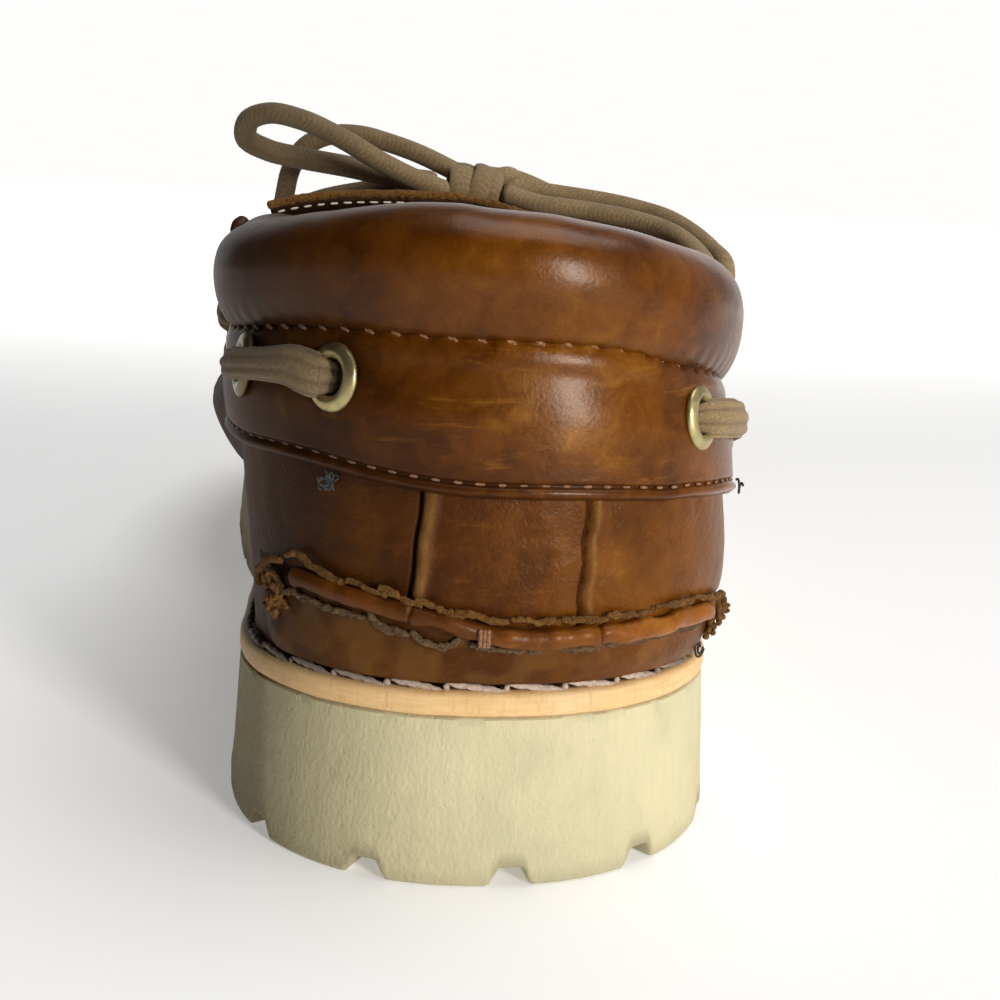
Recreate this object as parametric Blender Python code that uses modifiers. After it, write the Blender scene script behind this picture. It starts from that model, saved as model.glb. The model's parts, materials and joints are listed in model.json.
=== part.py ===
"""Right boat shoe: moccasin-stitched leather upper on a chunky lug sole.

Metres, +Z up, floor at z = 0. The toe points to +Y, the outer (lateral) side is +X and the
inner (medial) side is -X. Tables hold millimetres: "station" is the distance forward from the
back of the heel, "reach" is a distance out from the shoe's spine.
"""
import math

import bmesh
import bpy
import numpy as np
from mathutils import Vector

# Driving sizes, in millimetres
LENGTH = 300.0
HEEL_WIDTH = 80.0
BALL_STATION = 208.0
BALL_HALF = 52.45
SPINE_SWING = 4.55
WALL = 2.2
GAP = 0.3
MIDSOLE_THICK = 3.7
MIDSOLE_INSET = 1.6
FEATHER_INSET = 4.0
INSOLE_INSET = 7.2
INSOLE_THICK = 3.0
BAND_THICK = 1.6
TONGUE_THICK = 2.8
TONGUE_DROP = 3.7
EYELET_RING = 3.9
EYELET_WIRE = 1.0
LACE_RADIUS = 2.3
SIDE_LACE_RADIUS = 2.2
NOTCH_RADIUS = 3.4
NOTCH_LENGTH = 30.0
NOTCH_SINK = 0.5
NOTCH_PITCH = 21.6
NOTCH_PHASE = 0.89
ARCH_START = 90.0
ARCH_END = 162.0
THROAT_TOP = 112.0
THROAT_END = 170.0
BAND_START = 0.4
BAND_END = 157.0
COLLAR_END = 97.0
COLLAR_LIFT = 0.55
COLLAR_END_SCALE = 0.58
HEEL_RIDGE_CLEAR = 0.9
TOE_RIDGE_CLEAR = 0.65
TOE_RIDGE_START = 160.0
KNOT_HALF = (5.2, 4.6, 4.2)

MEDIAL, LATERAL = -1, 1
HEEL_CENTRE = HEEL_WIDTH / 2
TOE_FRONT = LENGTH - BALL_STATION
HEEL_POWER = 2.15
TOE_POWER = {MEDIAL: 2.4, LATERAL: 2.08}
MM = 0.001
ORIGIN = Vector((2.7, 149.1, 0.0))


def table(names, rows):
    """Named columns from a short list of rows."""
    return dict(zip(names, np.array(rows, dtype=float).T))


# Half widths of the sole between the heel curve and the toe curve
SOLE_SIDES = table(
    ("station", "medial", "lateral"),
    [
        (40, 40.0, 40.0),
        (70, 39.2, 41.0),
        (100, 37.2, 43.2),
        (125, 38.0, 46.8),
        (150, 41.0, 51.2),
        (175, 45.0, 55.3),
        (208, 47.9, 57.0),
    ],
)

# Heights of the tread's underside and of the midsole's top
SOLE_HEIGHTS = table(
    ("station", "tread", "top"),
    [
        (0, 0.0, 29.5),
        (20, 0.0, 28.7),
        (40, 0.0, 27.5),
        (60, 0.0, 26.8),
        (93.5, 0.0, 25.8),
        (97, 8.0, 25.7),
        (120, 9.0, 24.7),
        (146, 8.0, 23.2),
        (158, 0.0, 22.6),
        (180, 0.0, 21.8),
        (215, 0.0, 21.6),
        (236, 0.0, 22.4),
        (268, 3.4, 25.4),
        (300, 12.5, 30.4),
    ],
)

# How far the upper's wall stands out from the sole's edge, and how high above the midsole
WALLS = {
    MEDIAL: table(
        ("station", "low_out", "low_up", "high_out", "high_up", "top_out", "top_up"),
        [
            (0, -0.8, 9, -0.4, 25, -1.6, 38),
            (20, -3.0, 9, -1.8, 25.5, -1.4, 38),
            (40, -3.4, 10, -2.0, 26.5, -1.2, 38.5),
            (70, -2.4, 10, -0.8, 26.5, 0.6, 38.5),
            (100, 0.0, 10, 3.0, 26.5, 4.6, 41),
            (125, 1.0, 10, 5.4, 25, 5.0, 43.5),
            (150, 2.2, 10, 7.0, 23, 4.0, 41),
            (175, 3.4, 9, 7.8, 20, 0.0, 36),
            (208, 3.2, 9, 6.4, 19, 0.0, 32),
            (250, 2.2, 9, 2.8, 18, 0.0, 30),
            (300, 1.6, 9, 1.2, 18, 0.0, 30),
        ],
    ),
    LATERAL: table(
        ("station", "low_out", "low_up", "high_out", "high_up", "top_out", "top_up"),
        [
            (0, -0.8, 9, -0.4, 25, -1.6, 38),
            (20, -0.4, 9, -0.6, 24.5, -2.8, 35),
            (40, 0.2, 10, -0.6, 24, -3.0, 33.5),
            (70, 0.2, 10, 0.0, 24, -2.8, 33.5),
            (100, 0.4, 10, 0.4, 24, -1.8, 39),
            (125, 1.2, 10, 0.8, 23.5, -2.0, 43),
            (150, 1.8, 10, 1.2, 21, -2.0, 40.5),
            (175, 2.2, 10, 2.0, 20, 0.0, 34),
            (208, 2.2, 10, 2.4, 19, 0.0, 32),
            (250, 2.0, 9, 2.2, 18, 0.0, 30),
            (300, 1.6, 9, 1.2, 18, 0.0, 30),
        ],
    ),
}

# The arch of the instep and the moccasin plug: crest height, fall at the shoulder, shoulder reach
INSTEP = table(
    ("station", "crest", "fall", "half", "medial", "lateral"),
    [
        (96, 101.7, 10.0, 36.0, 36.0, 37.0),
        (112, 96.2, 10.0, 36.0, 37.6, 38.0),
        (125, 92.0, 11.5, 37.0, 39.0, 39.0),
        (140, 87.2, 13.0, 38.5, 40.4, 40.5),
        (155, 81.8, 13.5, 40.0, 42.0, 42.2),
        (170, 76.6, 13.2, 41.5, 43.6, 43.4),
        (190, 70.8, 12.0, 42.5, 44.4, 43.6),
        (208, 66.2, 10.5, 42.5, 44.0, 43.0),
        (230, 61.8, 7.8, 41.0, 44.6, 45.2),
        (250, 58.4, 5.0, 38.0, 50.4, 50.4),
        (270, 55.8, 2.2, 34.0, 58.0, 57.0),
        (285, 54.2, 1.0, 30.0, 64.8, 63.6),
        (300, 52.7, 0.5, 26.0, 71.0, 71.0),
    ],
)

# The upper's free edge: topline seam round the heel, then the throat, then the closed spine
EDGE = table(
    ("station", "medial_reach", "medial_up", "lateral_reach", "lateral_up"),
    [
        (0, 37.2, 80.0, 37.2, 80.0),
        (3.3, 37.3, 80.1, 37.1, 78.4),
        (6.7, 37.35, 80.0, 36.9, 76.7),
        (12, 37.4, 79.6, 36.5, 75.1),
        (22, 37.6, 78.4, 35.8, 73.2),
        (40, 38.0, 76.8, 35.5, 69.6),
        (60, 38.5, 76.0, 37.2, 68.4),
        (80, 39.0, 77.4, 39.4, 71.6),
        (96, 38.4, 80.8, 38.8, 76.8),
        (106, 36.0, 85.2, 36.4, 83.0),
        (112, 32.5, 88.2, 32.5, 88.2),
        (122, 27.0, 87.2, 27.0, 87.2),
        (140, 22.5, 83.2, 22.5, 83.2),
        (158, 18.5, 78.2, 18.5, 78.2),
        (165, 14.5, 76.2, 14.5, 76.2),
        (168.6, 8.0, 76.2, 8.0, 76.2),
        (170, 0.0, 76.2, 0.0, 76.2),
        (300, 0.0, 53.2, 0.0, 53.2),
    ],
)

# The heel ridge's centre line, by angle round the heel from the back; lateral is positive
HEEL_RIDGE = table(
    ("angle", "height"),
    [
        (-58, 43.6),
        (-45, 44.2),
        (-18, 42.2),
        (5, 39.2),
        (20, 39.0),
        (40, 39.5),
        (57, 38.6),
    ],
)

# Height of the collar roll above its seam
COLLAR = table(
    ("station", "medial", "lateral"),
    [
        (0, 16.0, 16.0),
        (1, 16.7, 15.7),
        (6, 16.1, 16.5),
        (12, 16.0, 17.1),
        (24, 16.3, 17.9),
        (40, 16.8, 17.3),
        (60, 16.3, 16.6),
        (84, 15.0, 15.4),
        (97, 10.4, 10.0),
    ],
)

COLORS = {
    "leather": (0.235, 0.083, 0.018),
    "band": (0.260, 0.095, 0.020),
    "rubber": (0.560, 0.545, 0.400),
    "welt": (0.720, 0.430, 0.190),
    "lining": (0.110, 0.045, 0.018),
    "lace": (0.200, 0.130, 0.075),
    "brass": (0.520, 0.420, 0.200),
}


def read(rows, column, station):
    """Smooth reading of one column against the first, without overshoot between its rows."""
    xs, ys = next(iter(rows.values())), rows[column]
    step = np.diff(xs)
    slope = np.diff(ys) / step
    tangent = np.concatenate([slope[:1], np.zeros(len(xs) - 2), slope[-1:]])
    same = slope[:-1] * slope[1:] > 0
    before, after = slope[:-1][same], slope[1:][same]
    tangent[1:-1][same] = 2 * before * after / (before + after)
    i = int(np.clip(np.searchsorted(xs, station) - 1, 0, len(step) - 1))
    t = float(np.clip((station - xs[i]) / step[i], 0, 1))
    rise = (3 * t * t - 2 * t**3) * (ys[i + 1] - ys[i])
    bend = (t**3 - 2 * t * t + t) * tangent[i] + (t**3 - t * t) * tangent[i + 1]
    return float(ys[i] + rise + bend * step[i])


def side_name(side):
    return "medial" if side == MEDIAL else "lateral"


def smoothstep(low, high, value):
    t = min(max((value - low) / (high - low), 0.0), 1.0)
    return t * t * (3 - 2 * t)


def place(x, y, z):
    """From millimetres on the last to metres about the part's origin."""
    return (Vector((x, y, z)) - ORIGIN) * MM


# ---------------------------------------------------------------- the last


def spine_x(station):
    return SPINE_SWING * smoothstep(HEEL_CENTRE, BALL_STATION, station)


def sole_x(station, side):
    """The sole outline's x at a station, signed by side."""
    if station <= HEEL_CENTRE:
        ratio = min((HEEL_CENTRE - station) / HEEL_CENTRE, 1.0)
        return side * HEEL_CENTRE * (1 - ratio**HEEL_POWER) ** (1 / HEEL_POWER)
    if station >= BALL_STATION:
        power = TOE_POWER[side]
        ratio = min((station - BALL_STATION) / TOE_FRONT, 1.0)
        return SPINE_SWING + side * BALL_HALF * (1 - ratio**power) ** (1 / power)
    return side * read(SOLE_SIDES, side_name(side), station)


class Rib:
    """One upright section of the shoe, from the spine out through the sole's edge."""

    def __init__(self, station, side):
        self.station, self.side = station, side
        self.root = np.array([spine_x(station), min(max(station, HEEL_CENTRE), BALL_STATION)])
        edge = np.array([sole_x(station, side), station])
        self.reach = float(np.linalg.norm(edge - self.root))
        self.aim = (edge - self.root) / self.reach

    def plan(self, reach):
        return self.root + self.aim * reach

    def point(self, reach, up):
        x, y = self.plan(reach)
        return np.array([x, y, up])


def instep_height(x, y):
    """Height of the instep arch and the plug over a place on the plan."""
    off = abs(x - spine_x(y)) / read(INSTEP, "half", y)
    return read(INSTEP, "crest", y) - read(INSTEP, "fall", y) * off * off


def wall_keys(rib):
    """Key points of a rib's outer face: feather, low wall, high wall, shoulder, free edge."""
    at, side = rib.station, rib.side
    wall, name = WALLS[side], side_name(side)
    base = read(SOLE_HEIGHTS, "top", at)
    front = smoothstep(98, THROAT_TOP, at)
    keys = [rib.point(rib.reach - FEATHER_INSET, base + GAP)]
    keys.append(rib.point(rib.reach + read(wall, "low_out", at), base + read(wall, "low_up", at)))
    keys.append(rib.point(rib.reach + read(wall, "high_out", at), base + read(wall, "high_up", at)))
    heel_reach = rib.reach + read(wall, "top_out", at)
    front_reach = read(INSTEP, name, at)
    front_x, front_y = rib.plan(front_reach)
    reach = heel_reach + (front_reach - heel_reach) * front
    up = base + read(wall, "top_up", at)
    up += (instep_height(front_x, front_y) - up) * front
    keys.append(rib.point(reach, up))
    reach, up = read(EDGE, name + "_reach", at), read(EDGE, name + "_up", at)
    edge_x, edge_y = rib.plan(reach)
    up += (instep_height(edge_x, edge_y) - up) * smoothstep(106, THROAT_TOP, at)
    keys.append(rib.point(reach, up))
    return keys


def spline(keys, per_span):
    """Smooth curve through key points; per_span lists how many steps each span takes."""
    keys = [np.asarray(k, dtype=float) for k in keys]
    tangents = [keys[1] - keys[0]]
    for before, here, after in zip(keys, keys[1:], keys[2:]):
        a, b = np.linalg.norm(here - before), np.linalg.norm(after - here)
        tangents.append(((here - before) / a * b + (after - here) / b * a) / (a + b))
    tangents[0] = tangents[0] / np.linalg.norm(tangents[0])
    last = keys[-1] - keys[-2]
    tangents.append(last / np.linalg.norm(last))
    points = []
    for i, steps in enumerate(per_span):
        chord = np.linalg.norm(keys[i + 1] - keys[i])
        for k in range(steps):
            t = k / steps
            h00, h01 = 1 - 3 * t * t + 2 * t**3, 3 * t * t - 2 * t**3
            h10, h11 = t**3 - 2 * t * t + t, t**3 - t * t
            bend = (h10 * tangents[i] + h11 * tangents[i + 1]) * chord
            points.append(h00 * keys[i] + h01 * keys[i + 1] + bend)
    points.append(keys[-1])
    return points


PLUG_STEPS = 5
WALL_STEPS = (2, 2, 3)


def wall_line(rib):
    """The rib's outer face from the feather to the free edge or the spine."""
    keys = wall_keys(rib)
    line = spline(keys, WALL_STEPS + (PLUG_STEPS,))
    blend = smoothstep(100, THROAT_TOP, rib.station)
    if blend > 0:
        shoulder = len(line) - 1 - PLUG_STEPS
        start, end = line[shoulder], line[-1]
        for k in range(1, PLUG_STEPS + 1):
            flat = start + (end - start) * k / PLUG_STEPS
            flat[2] = instep_height(flat[0], flat[1])
            line[shoulder + k] = line[shoulder + k] + (flat - line[shoulder + k]) * blend
    return line


def curve_angles(count):
    return [math.radians(90) * k / count for k in range(count + 1)]


def heel_stations(count):
    return [HEEL_CENTRE * (1 - math.cos(a) ** (2 / HEEL_POWER)) for a in curve_angles(count)]


def toe_stations(count):
    return [BALL_STATION + TOE_FRONT * math.sin(a) ** (2 / 2.2) for a in curve_angles(count)]


def side_stations(steps):
    span = BALL_STATION - HEEL_CENTRE
    return [HEEL_CENTRE + span * k / steps for k in range(1, steps)]


UPPER_STATIONS = (
    heel_stations(7)
    + [52, 64, 76, 88, 98, 106, THROAT_TOP, 122, 134, 146, 157, 165, 168.6, THROAT_END, 182, 195]
    + toe_stations(8)
)
SOLE_STATIONS = (
    heel_stations(7)
    + [55, 70, 84, 93.5, 97, 110, 122, 134, 146, 158, 170, 182, 195]
    + toe_stations(8)
)


def ring_of_ribs(stations):
    """Ribs once round the shoe: up the medial side to the toe, back down the lateral side."""
    medial = [Rib(s, MEDIAL) for s in stations]
    lateral = [Rib(s, LATERAL) for s in stations[1:-1]]
    return medial + lateral[::-1]


# ---------------------------------------------------------------- Blender helpers


def clear_scene():
    for obj in list(bpy.data.objects):
        bpy.data.objects.remove(obj, do_unlink=True)


def new_collection(name):
    collection = bpy.data.collections.new(name)
    bpy.context.scene.collection.children.link(collection)
    return collection


def material(name, color, roughness, metallic=0.0):
    found = bpy.data.materials.get(name)
    if found:
        return found
    made = bpy.data.materials.new(name)
    made.use_nodes = True
    shader = made.node_tree.nodes["Principled BSDF"]
    shader.inputs["Base Color"].default_value = (*color, 1.0)
    shader.inputs["Roughness"].default_value = roughness
    shader.inputs["Metallic"].default_value = metallic
    return made


def leather():
    return material("leather", COLORS["leather"], 0.38)


def band_leather():
    return material("band_leather", COLORS["band"], 0.30)


def rubber():
    return material("rubber", COLORS["rubber"], 0.85)


def welt_leather():
    return material("welt_leather", COLORS["welt"], 0.70)


def lining():
    return material("lining", COLORS["lining"], 0.75)


def braid():
    return material("braid", COLORS["lace"], 0.90)


def brass():
    return material("brass", COLORS["brass"], 0.35, 0.9)


def add_mesh(name, points, faces, skin, angle=40):
    """A mesh object from points in millimetres on the last, faces turned outward."""
    shape = bmesh.new()
    verts = [shape.verts.new(place(*p)) for p in points]
    for face in faces:
        corners = [verts[i] for i in face]
        if len(set(corners)) > 2:
            shape.faces.new(corners)
    bmesh.ops.remove_doubles(shape, verts=shape.verts[:], dist=0.00002)
    bmesh.ops.recalc_face_normals(shape, faces=shape.faces[:])
    mesh = bpy.data.meshes.new(name)
    shape.to_mesh(mesh)
    shape.free()
    mesh.materials.append(skin)
    mesh.shade_smooth()
    mesh.set_sharp_from_angle(angle=math.radians(angle))
    obj = bpy.data.objects.new(name, mesh)
    SHOE.objects.link(obj)
    return obj


def grid_faces(rows, columns, wrap=False, flip=False):
    """Quads over points laid out row after row; wrap joins the last row to the first."""
    faces = []
    for r in range(rows if wrap else rows - 1):
        after = (r + 1) % rows
        for c in range(columns - 1):
            face = (r * columns + c, after * columns + c, after * columns + c + 1, r * columns + c + 1)
            faces.append(face[::-1] if flip else face)
    return faces


def add_shell(name, points, faces, thickness, offset, skin, turn):
    """An open surface thickened by Solidify; turn says whether its normals need flipping."""
    obj = add_mesh(name, points, faces, skin)
    if turn(obj.data):
        obj.data.flip_normals()
    solid = obj.modifiers.new("thickness", "SOLIDIFY")
    solid.thickness = thickness * MM
    solid.offset = offset
    solid.use_even_offset = True
    solid.use_rim = True
    return obj


SPINE_HEIGHT = 40.0


def faces_inward(mesh):
    """True when a shell round the shoe's spine has its normals pointing in."""
    total = 0.0
    for face in mesh.polygons:
        out = Vector((face.center.x, 0.0, face.center.z - SPINE_HEIGHT * MM))
        total += face.normal.dot(out) * face.area
    return total < 0


def faces_down(mesh):
    """True when most of a sheet's area faces the floor."""
    return sum(face.normal.z * face.area for face in mesh.polygons) < 0


def add_sweep(name, frames, profile, skin, angle=60):
    """A closed profile carried along frames of (origin, out, up), with flat ends."""
    points = []
    for origin, out, up in frames:
        for across, rise in profile:
            points.append(origin + out * across + up * rise)
    count, size = len(frames), len(profile)
    faces = []
    for r in range(count - 1):
        for c in range(size):
            d = (c + 1) % size
            faces.append((r * size + c, r * size + d, (r + 1) * size + d, (r + 1) * size + c))
    faces.append(tuple(range(size)))
    faces.append(tuple((count - 1) * size + c for c in range(size))[::-1])
    return add_mesh(name, points, faces, skin, angle)


def layered_body(name, levels, skin, stations=SOLE_STATIONS):
    """A body from rings of the sole's outline; each level is (inset, height reader)."""
    ribs = ring_of_ribs(stations)
    count, half = len(ribs), len(stations)
    points = []
    for inset, height in levels:
        for rib in ribs:
            x, y = rib.plan(rib.reach - inset)
            points.append((x, y, height(rib.station)))
    faces = grid_faces(len(levels), count + 1)
    faces = [tuple(i // (count + 1) * count + i % (count + 1) % count for i in f) for f in faces]
    for base in (0, (len(levels) - 1) * count):
        mate = [0] + [count - k for k in range(1, half - 1)] + [half - 1]
        for k in range(half - 1):
            loop = [base + k, base + k + 1, base + mate[k + 1], base + mate[k]]
            faces.append(tuple(dict.fromkeys(loop)))
    return add_mesh(name, points, faces, skin)


def sole_top(drop=0.0):
    return lambda station: read(SOLE_HEIGHTS, "top", station) - drop


def tread(rise=0.0):
    return lambda station: read(SOLE_HEIGHTS, "tread", station) + rise


# ---------------------------------------------------------------- sole parts


def edge_length_points(pitch):
    """Ribs at an even pitch round the sole's edge, with the angle of each outline tangent."""
    ribs = ring_of_ribs(heel_stations(24) + side_stations(60) + toe_stations(30))
    plan = np.array([rib.plan(rib.reach) for rib in ribs + ribs[:1]])
    steps = np.linalg.norm(np.diff(plan, axis=0), axis=1)
    along = np.concatenate([[0.0], np.cumsum(steps)])
    count = round(along[-1] / pitch)
    places = []
    for k in range(count):
        target = (k + NOTCH_PHASE) * along[-1] / count
        i = int(np.searchsorted(along, target)) - 1
        spot = plan[i] + (plan[i + 1] - plan[i]) * (target - along[i]) / steps[i]
        tangent = (plan[i + 1] - plan[i]) / steps[i]
        places.append((spot, tangent))
    return places


def add_lug_cutters(collection):
    """Short bars across the tread's edge, whose grooves part the lugs."""
    cutters = []
    for spot, tangent in edge_length_points(NOTCH_PITCH):
        station = float(spot[1])
        if ARCH_START < station < ARCH_END:
            continue
        height = read(SOLE_HEIGHTS, "tread", station)
        inward = Vector((-tangent[1], tangent[0], 0.0))
        if inward.x * (spot[0] - spine_x(station)) > 0 and HEEL_CENTRE < station < BALL_STATION:
            inward = -inward
        bpy.ops.mesh.primitive_cylinder_add(
            vertices=8, radius=NOTCH_RADIUS * MM, depth=NOTCH_LENGTH * MM, end_fill_type="NGON"
        )
        cutter = bpy.context.object
        cutter.name = f"lug_cutter_{len(cutters) + 1}"
        cutter.rotation_euler = Vector((inward.x, inward.y, 0)).to_track_quat("Z", "Y").to_euler()
        cutter.location = place(spot[0], spot[1], height - NOTCH_SINK)
        cutter.hide_render = True
        cutter.display_type = "WIRE"
        for owner in list(cutter.users_collection):
            owner.objects.unlink(cutter)
        collection.objects.link(cutter)
        cutters.append(cutter)
    return cutters


def add_outsole(cutter_collection):
    levels = [
        (0.8, tread()),
        (0.1, tread(1.2)),
        (0.0, tread(6.0)),
        (MIDSOLE_INSET, sole_top(MIDSOLE_THICK + GAP)),
    ]
    outsole = layered_body("outsole", levels, rubber())
    for cutter in add_lug_cutters(cutter_collection):
        cut = outsole.modifiers.new(cutter.name, "BOOLEAN")
        cut.operation = "DIFFERENCE"
        cut.solver = "EXACT"
        cut.object = cutter
    return outsole


def add_midsole():
    levels = [(MIDSOLE_INSET, sole_top(MIDSOLE_THICK)), (MIDSOLE_INSET, sole_top())]
    return layered_body("midsole", levels, welt_leather())


def add_insole():
    levels = [(INSOLE_INSET, sole_top(-GAP)), (INSOLE_INSET, sole_top(-GAP - INSOLE_THICK))]
    return layered_body("insole", levels, lining())


# ---------------------------------------------------------------- upper parts


def add_upper():
    ribs = ring_of_ribs(UPPER_STATIONS)
    lines = [wall_line(rib) for rib in ribs]
    points = [p for line in lines for p in line]
    faces = grid_faces(len(ribs), len(lines[0]), wrap=True)
    return add_shell("upper", points, faces, WALL, -1.0, leather(), faces_inward)


def down_from_edge(line, distance):
    """The point on a rib's face a given distance below its free edge, and the face's normal."""
    walked = 0.0
    for upper_point, lower_point in zip(line[::-1], line[-2::-1]):
        step = np.linalg.norm(lower_point - upper_point)
        if walked + step >= distance:
            t = (distance - walked) / step
            return upper_point + (lower_point - upper_point) * t, lower_point - upper_point
        walked += step
    return line[0], line[0] - line[1]


def band_ribs():
    stations = [s for s in UPPER_STATIONS if s <= BAND_END]
    lateral = [Rib(s, LATERAL) for s in stations[::-1]]
    return lateral + [Rib(s, MEDIAL) for s in stations[1:]]


def surface_frame(rib, distance):
    """A place on the upper below the free edge, and its outward direction."""
    here, down = down_from_edge(wall_line(rib), distance)
    near = Rib(max(rib.station - 2.0, 0.0), rib.side)
    far = Rib(rib.station + 2.0, rib.side)
    along = down_from_edge(wall_line(far), distance)[0] - down_from_edge(wall_line(near), distance)[0]
    if rib.station < 2.0:
        along = np.array([float(rib.side), 0.0, 0.0])
    out = np.cross(along, down)
    out = out / np.linalg.norm(out)
    if out[:2] @ rib.aim < 0:
        out = -out
    return here, out


# Width of the lace band on each side, and its clearance over the upper
BAND = table(
    ("station", "medial", "lateral", "lift"),
    [
        (0, 21.8, 21.8, 0.6),
        (4, 20.6, 20.8, 0.6),
        (10, 19.1, 19.3, 0.6),
        (20, 18.0, 18.9, 0.6),
        (40, 16.4, 19.4, 0.6),
        (80, 17.0, 19.0, 0.7),
        (98, 18.0, 19.0, 1.3),
        (112, 19.0, 19.0, 1.7),
        (134, 18.4, 18.4, 1.3),
        (160, 17.0, 17.0, 0.8),
    ],
)
BAND_STEPS = 6


def add_lace_band():
    points = []
    ribs = band_ribs()
    for rib in ribs:
        width = read(BAND, side_name(rib.side), rib.station)
        for k in range(BAND_STEPS + 1):
            distance = BAND_START + (width - BAND_START) * k / BAND_STEPS
            here, out = surface_frame(rib, distance)
            points.append(here + out * read(BAND, "lift", rib.station))
    faces = grid_faces(len(ribs), BAND_STEPS + 1)
    return add_shell("lace_band", points, faces, BAND_THICK, 1.0, band_leather(), faces_inward)


COLLAR_PROFILE = [
    (1.9, 0.00),
    (4.0, 0.14),
    (4.9, 0.36),
    (4.8, 0.58),
    (3.6, 0.78),
    (0.8, 0.93),
    (-3.2, 1.00),
    (-7.2, 0.98),
    (-10.2, 0.86),
    (-11.2, 0.62),
    (-10.0, 0.36),
    (-6.6, 0.14),
    (-2.4, 0.00),
]


def add_collar():
    """Padded roll standing on the upper's topline."""
    stations = heel_stations(7) + [50, 60, 70, 80, 88, 93, COLLAR_END]
    ribs = [Rib(s, LATERAL) for s in stations[::-1]] + [Rib(s, MEDIAL) for s in stations[1:]]
    frames = []
    for rib in ribs:
        here = wall_line(rib)[-1]
        shrink = 1.0 - (1.0 - COLLAR_END_SCALE) * smoothstep(80, COLLAR_END, rib.station)
        out = np.array([rib.aim[0], rib.aim[1], 0.0]) * shrink
        up = np.array([0, 0, read(COLLAR, side_name(rib.side), rib.station)])
        frames.append((here + np.array([0, 0, COLLAR_LIFT]), out, up))
    return add_sweep("collar", frames, COLLAR_PROFILE, band_leather())


RIDGE_PROFILE = [(0.3, -2.4), (2.6, -2.3), (3.6, -0.6), (3.4, 1.4), (2.2, 2.5), (0.1, 2.3)]


def rib_at_angle(degrees):
    """A rib of the heel curve by its angle round from the back; lateral is positive."""
    side = LATERAL if degrees > 0 else MEDIAL
    cosine = math.cos(math.radians(abs(degrees)))
    station = HEEL_CENTRE * (1 - cosine ** (2 / HEEL_POWER))
    return Rib(station, side)


def wall_at_height(rib, height):
    line = wall_line(rib)
    for low, high in zip(line, line[1:]):
        if low[2] <= height <= high[2]:
            t = (height - low[2]) / (high[2] - low[2])
            return low + (high - low) * t
    return line[0]


def add_heel_ridge():
    frames = []
    for degrees in np.linspace(HEEL_RIDGE["angle"][0], HEEL_RIDGE["angle"][-1], 17):
        rib = rib_at_angle(degrees)
        here = wall_at_height(rib, read(HEEL_RIDGE, "height", degrees))
        out = np.array([rib.aim[0], rib.aim[1], 0.0])
        frames.append((here + out * HEEL_RIDGE_CLEAR, out, np.array([0, 0, 1.0])))
    return add_sweep("heel_ridge", frames, RIDGE_PROFILE, leather())


TOE_RIDGE_PROFILE = [(-2.0, 0.0), (-1.7, 2.2), (0.0, 3.0), (1.7, 2.2), (2.0, 0.0)]


def add_toe_ridge():
    """Hand-sewn ridge that stands on the shoulder line round the plug."""
    stations = [s for s in UPPER_STATIONS if s >= TOE_RIDGE_START]
    ribs = [Rib(s, MEDIAL) for s in stations] + [Rib(s, LATERAL) for s in stations[-2::-1]]
    shoulder = sum(WALL_STEPS)
    frames = []
    for rib in ribs:
        line = wall_line(rib)
        down = line[shoulder - 1] - line[shoulder + 1]
        down = down / np.linalg.norm(down)
        side = np.array([-rib.aim[1], rib.aim[0], 0.0])
        up = np.cross(side, down)
        up = up / np.linalg.norm(up)
        if up[2] < 0:
            up = -up
        frames.append((line[shoulder] + up * TOE_RIDGE_CLEAR, down, up))
    return add_sweep("toe_ridge", frames, TOE_RIDGE_PROFILE, leather())


TONGUE = table(
    ("station", "half", "crest"),
    [
        (98, 38.0, 98.0),
        (102, 38.0, 96.7),
        (106, 33.4, 95.3),
        (109, 31.0, 94.2),
        (112, 31.0, 93.2),
        (125, 31.5, 89.0),
        (145, 30.5, 82.2),
        (165, 27.0, 75.2),
        (184, 22.0, 69.2),
    ],
)
# Drop of the tongue's free edge at a reach of DROOP_SPAN, and the power of its curve
DROOP_SPAN = 40.0
TONGUE_DROOP = {MEDIAL: (4.0, 3.5), LATERAL: (10.5, 1.15)}


def tongue_height(across, y):
    """Free and gently curved above the throat, following the instep's inside below it."""
    droop, power = TONGUE_DROOP[LATERAL if across > 0 else MEDIAL]
    free = read(TONGUE, "crest", y) - droop * (abs(across) / DROOP_SPAN) ** power
    covered = max(y, THROAT_TOP)
    under = instep_height(across + spine_x(covered), covered) - TONGUE_DROP
    return free + (under - free) * smoothstep(104, THROAT_TOP, y)


def add_tongue():
    stations = [98, 101, 104, 108, 112, 118, 125, 135, 145, 155, 165, 175, 184]
    points = []
    columns = 13
    for y in stations:
        half = read(TONGUE, "half", y)
        for c in range(columns):
            across = half * (2 * c / (columns - 1) - 1)
            points.append((across + spine_x(y), y, tongue_height(across, y)))
    faces = grid_faces(len(stations), columns)
    return add_shell("tongue", points, faces, TONGUE_THICK, -1.0, lining(), faces_down)


# ---------------------------------------------------------------- eyelets and lace

SIDE_EYELETS = {
    MEDIAL: ((6.6, "rear_a"), (22.5, "rear_b"), (80.0, "front_a"), (100.0, "front_b")),
    LATERAL: ((10.7, "rear_a"), (31.0, "rear_b"), (80.0, "front_a"), (100.0, "front_b")),
}
THROAT_EYELETS = ((121.0, "top"), (137.0, "middle"), (152.0, "bottom"))
SIDE_DROP = {MEDIAL: 6.2, LATERAL: 7.7}
THROAT_DROP = 8.5
EYELET_FLATTEN = 0.6
EYELET_CLEAR = 0.8


def band_face(station):
    """Height of the lace band's outer face over the upper."""
    return read(BAND, "lift", station) + BAND_THICK


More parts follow.
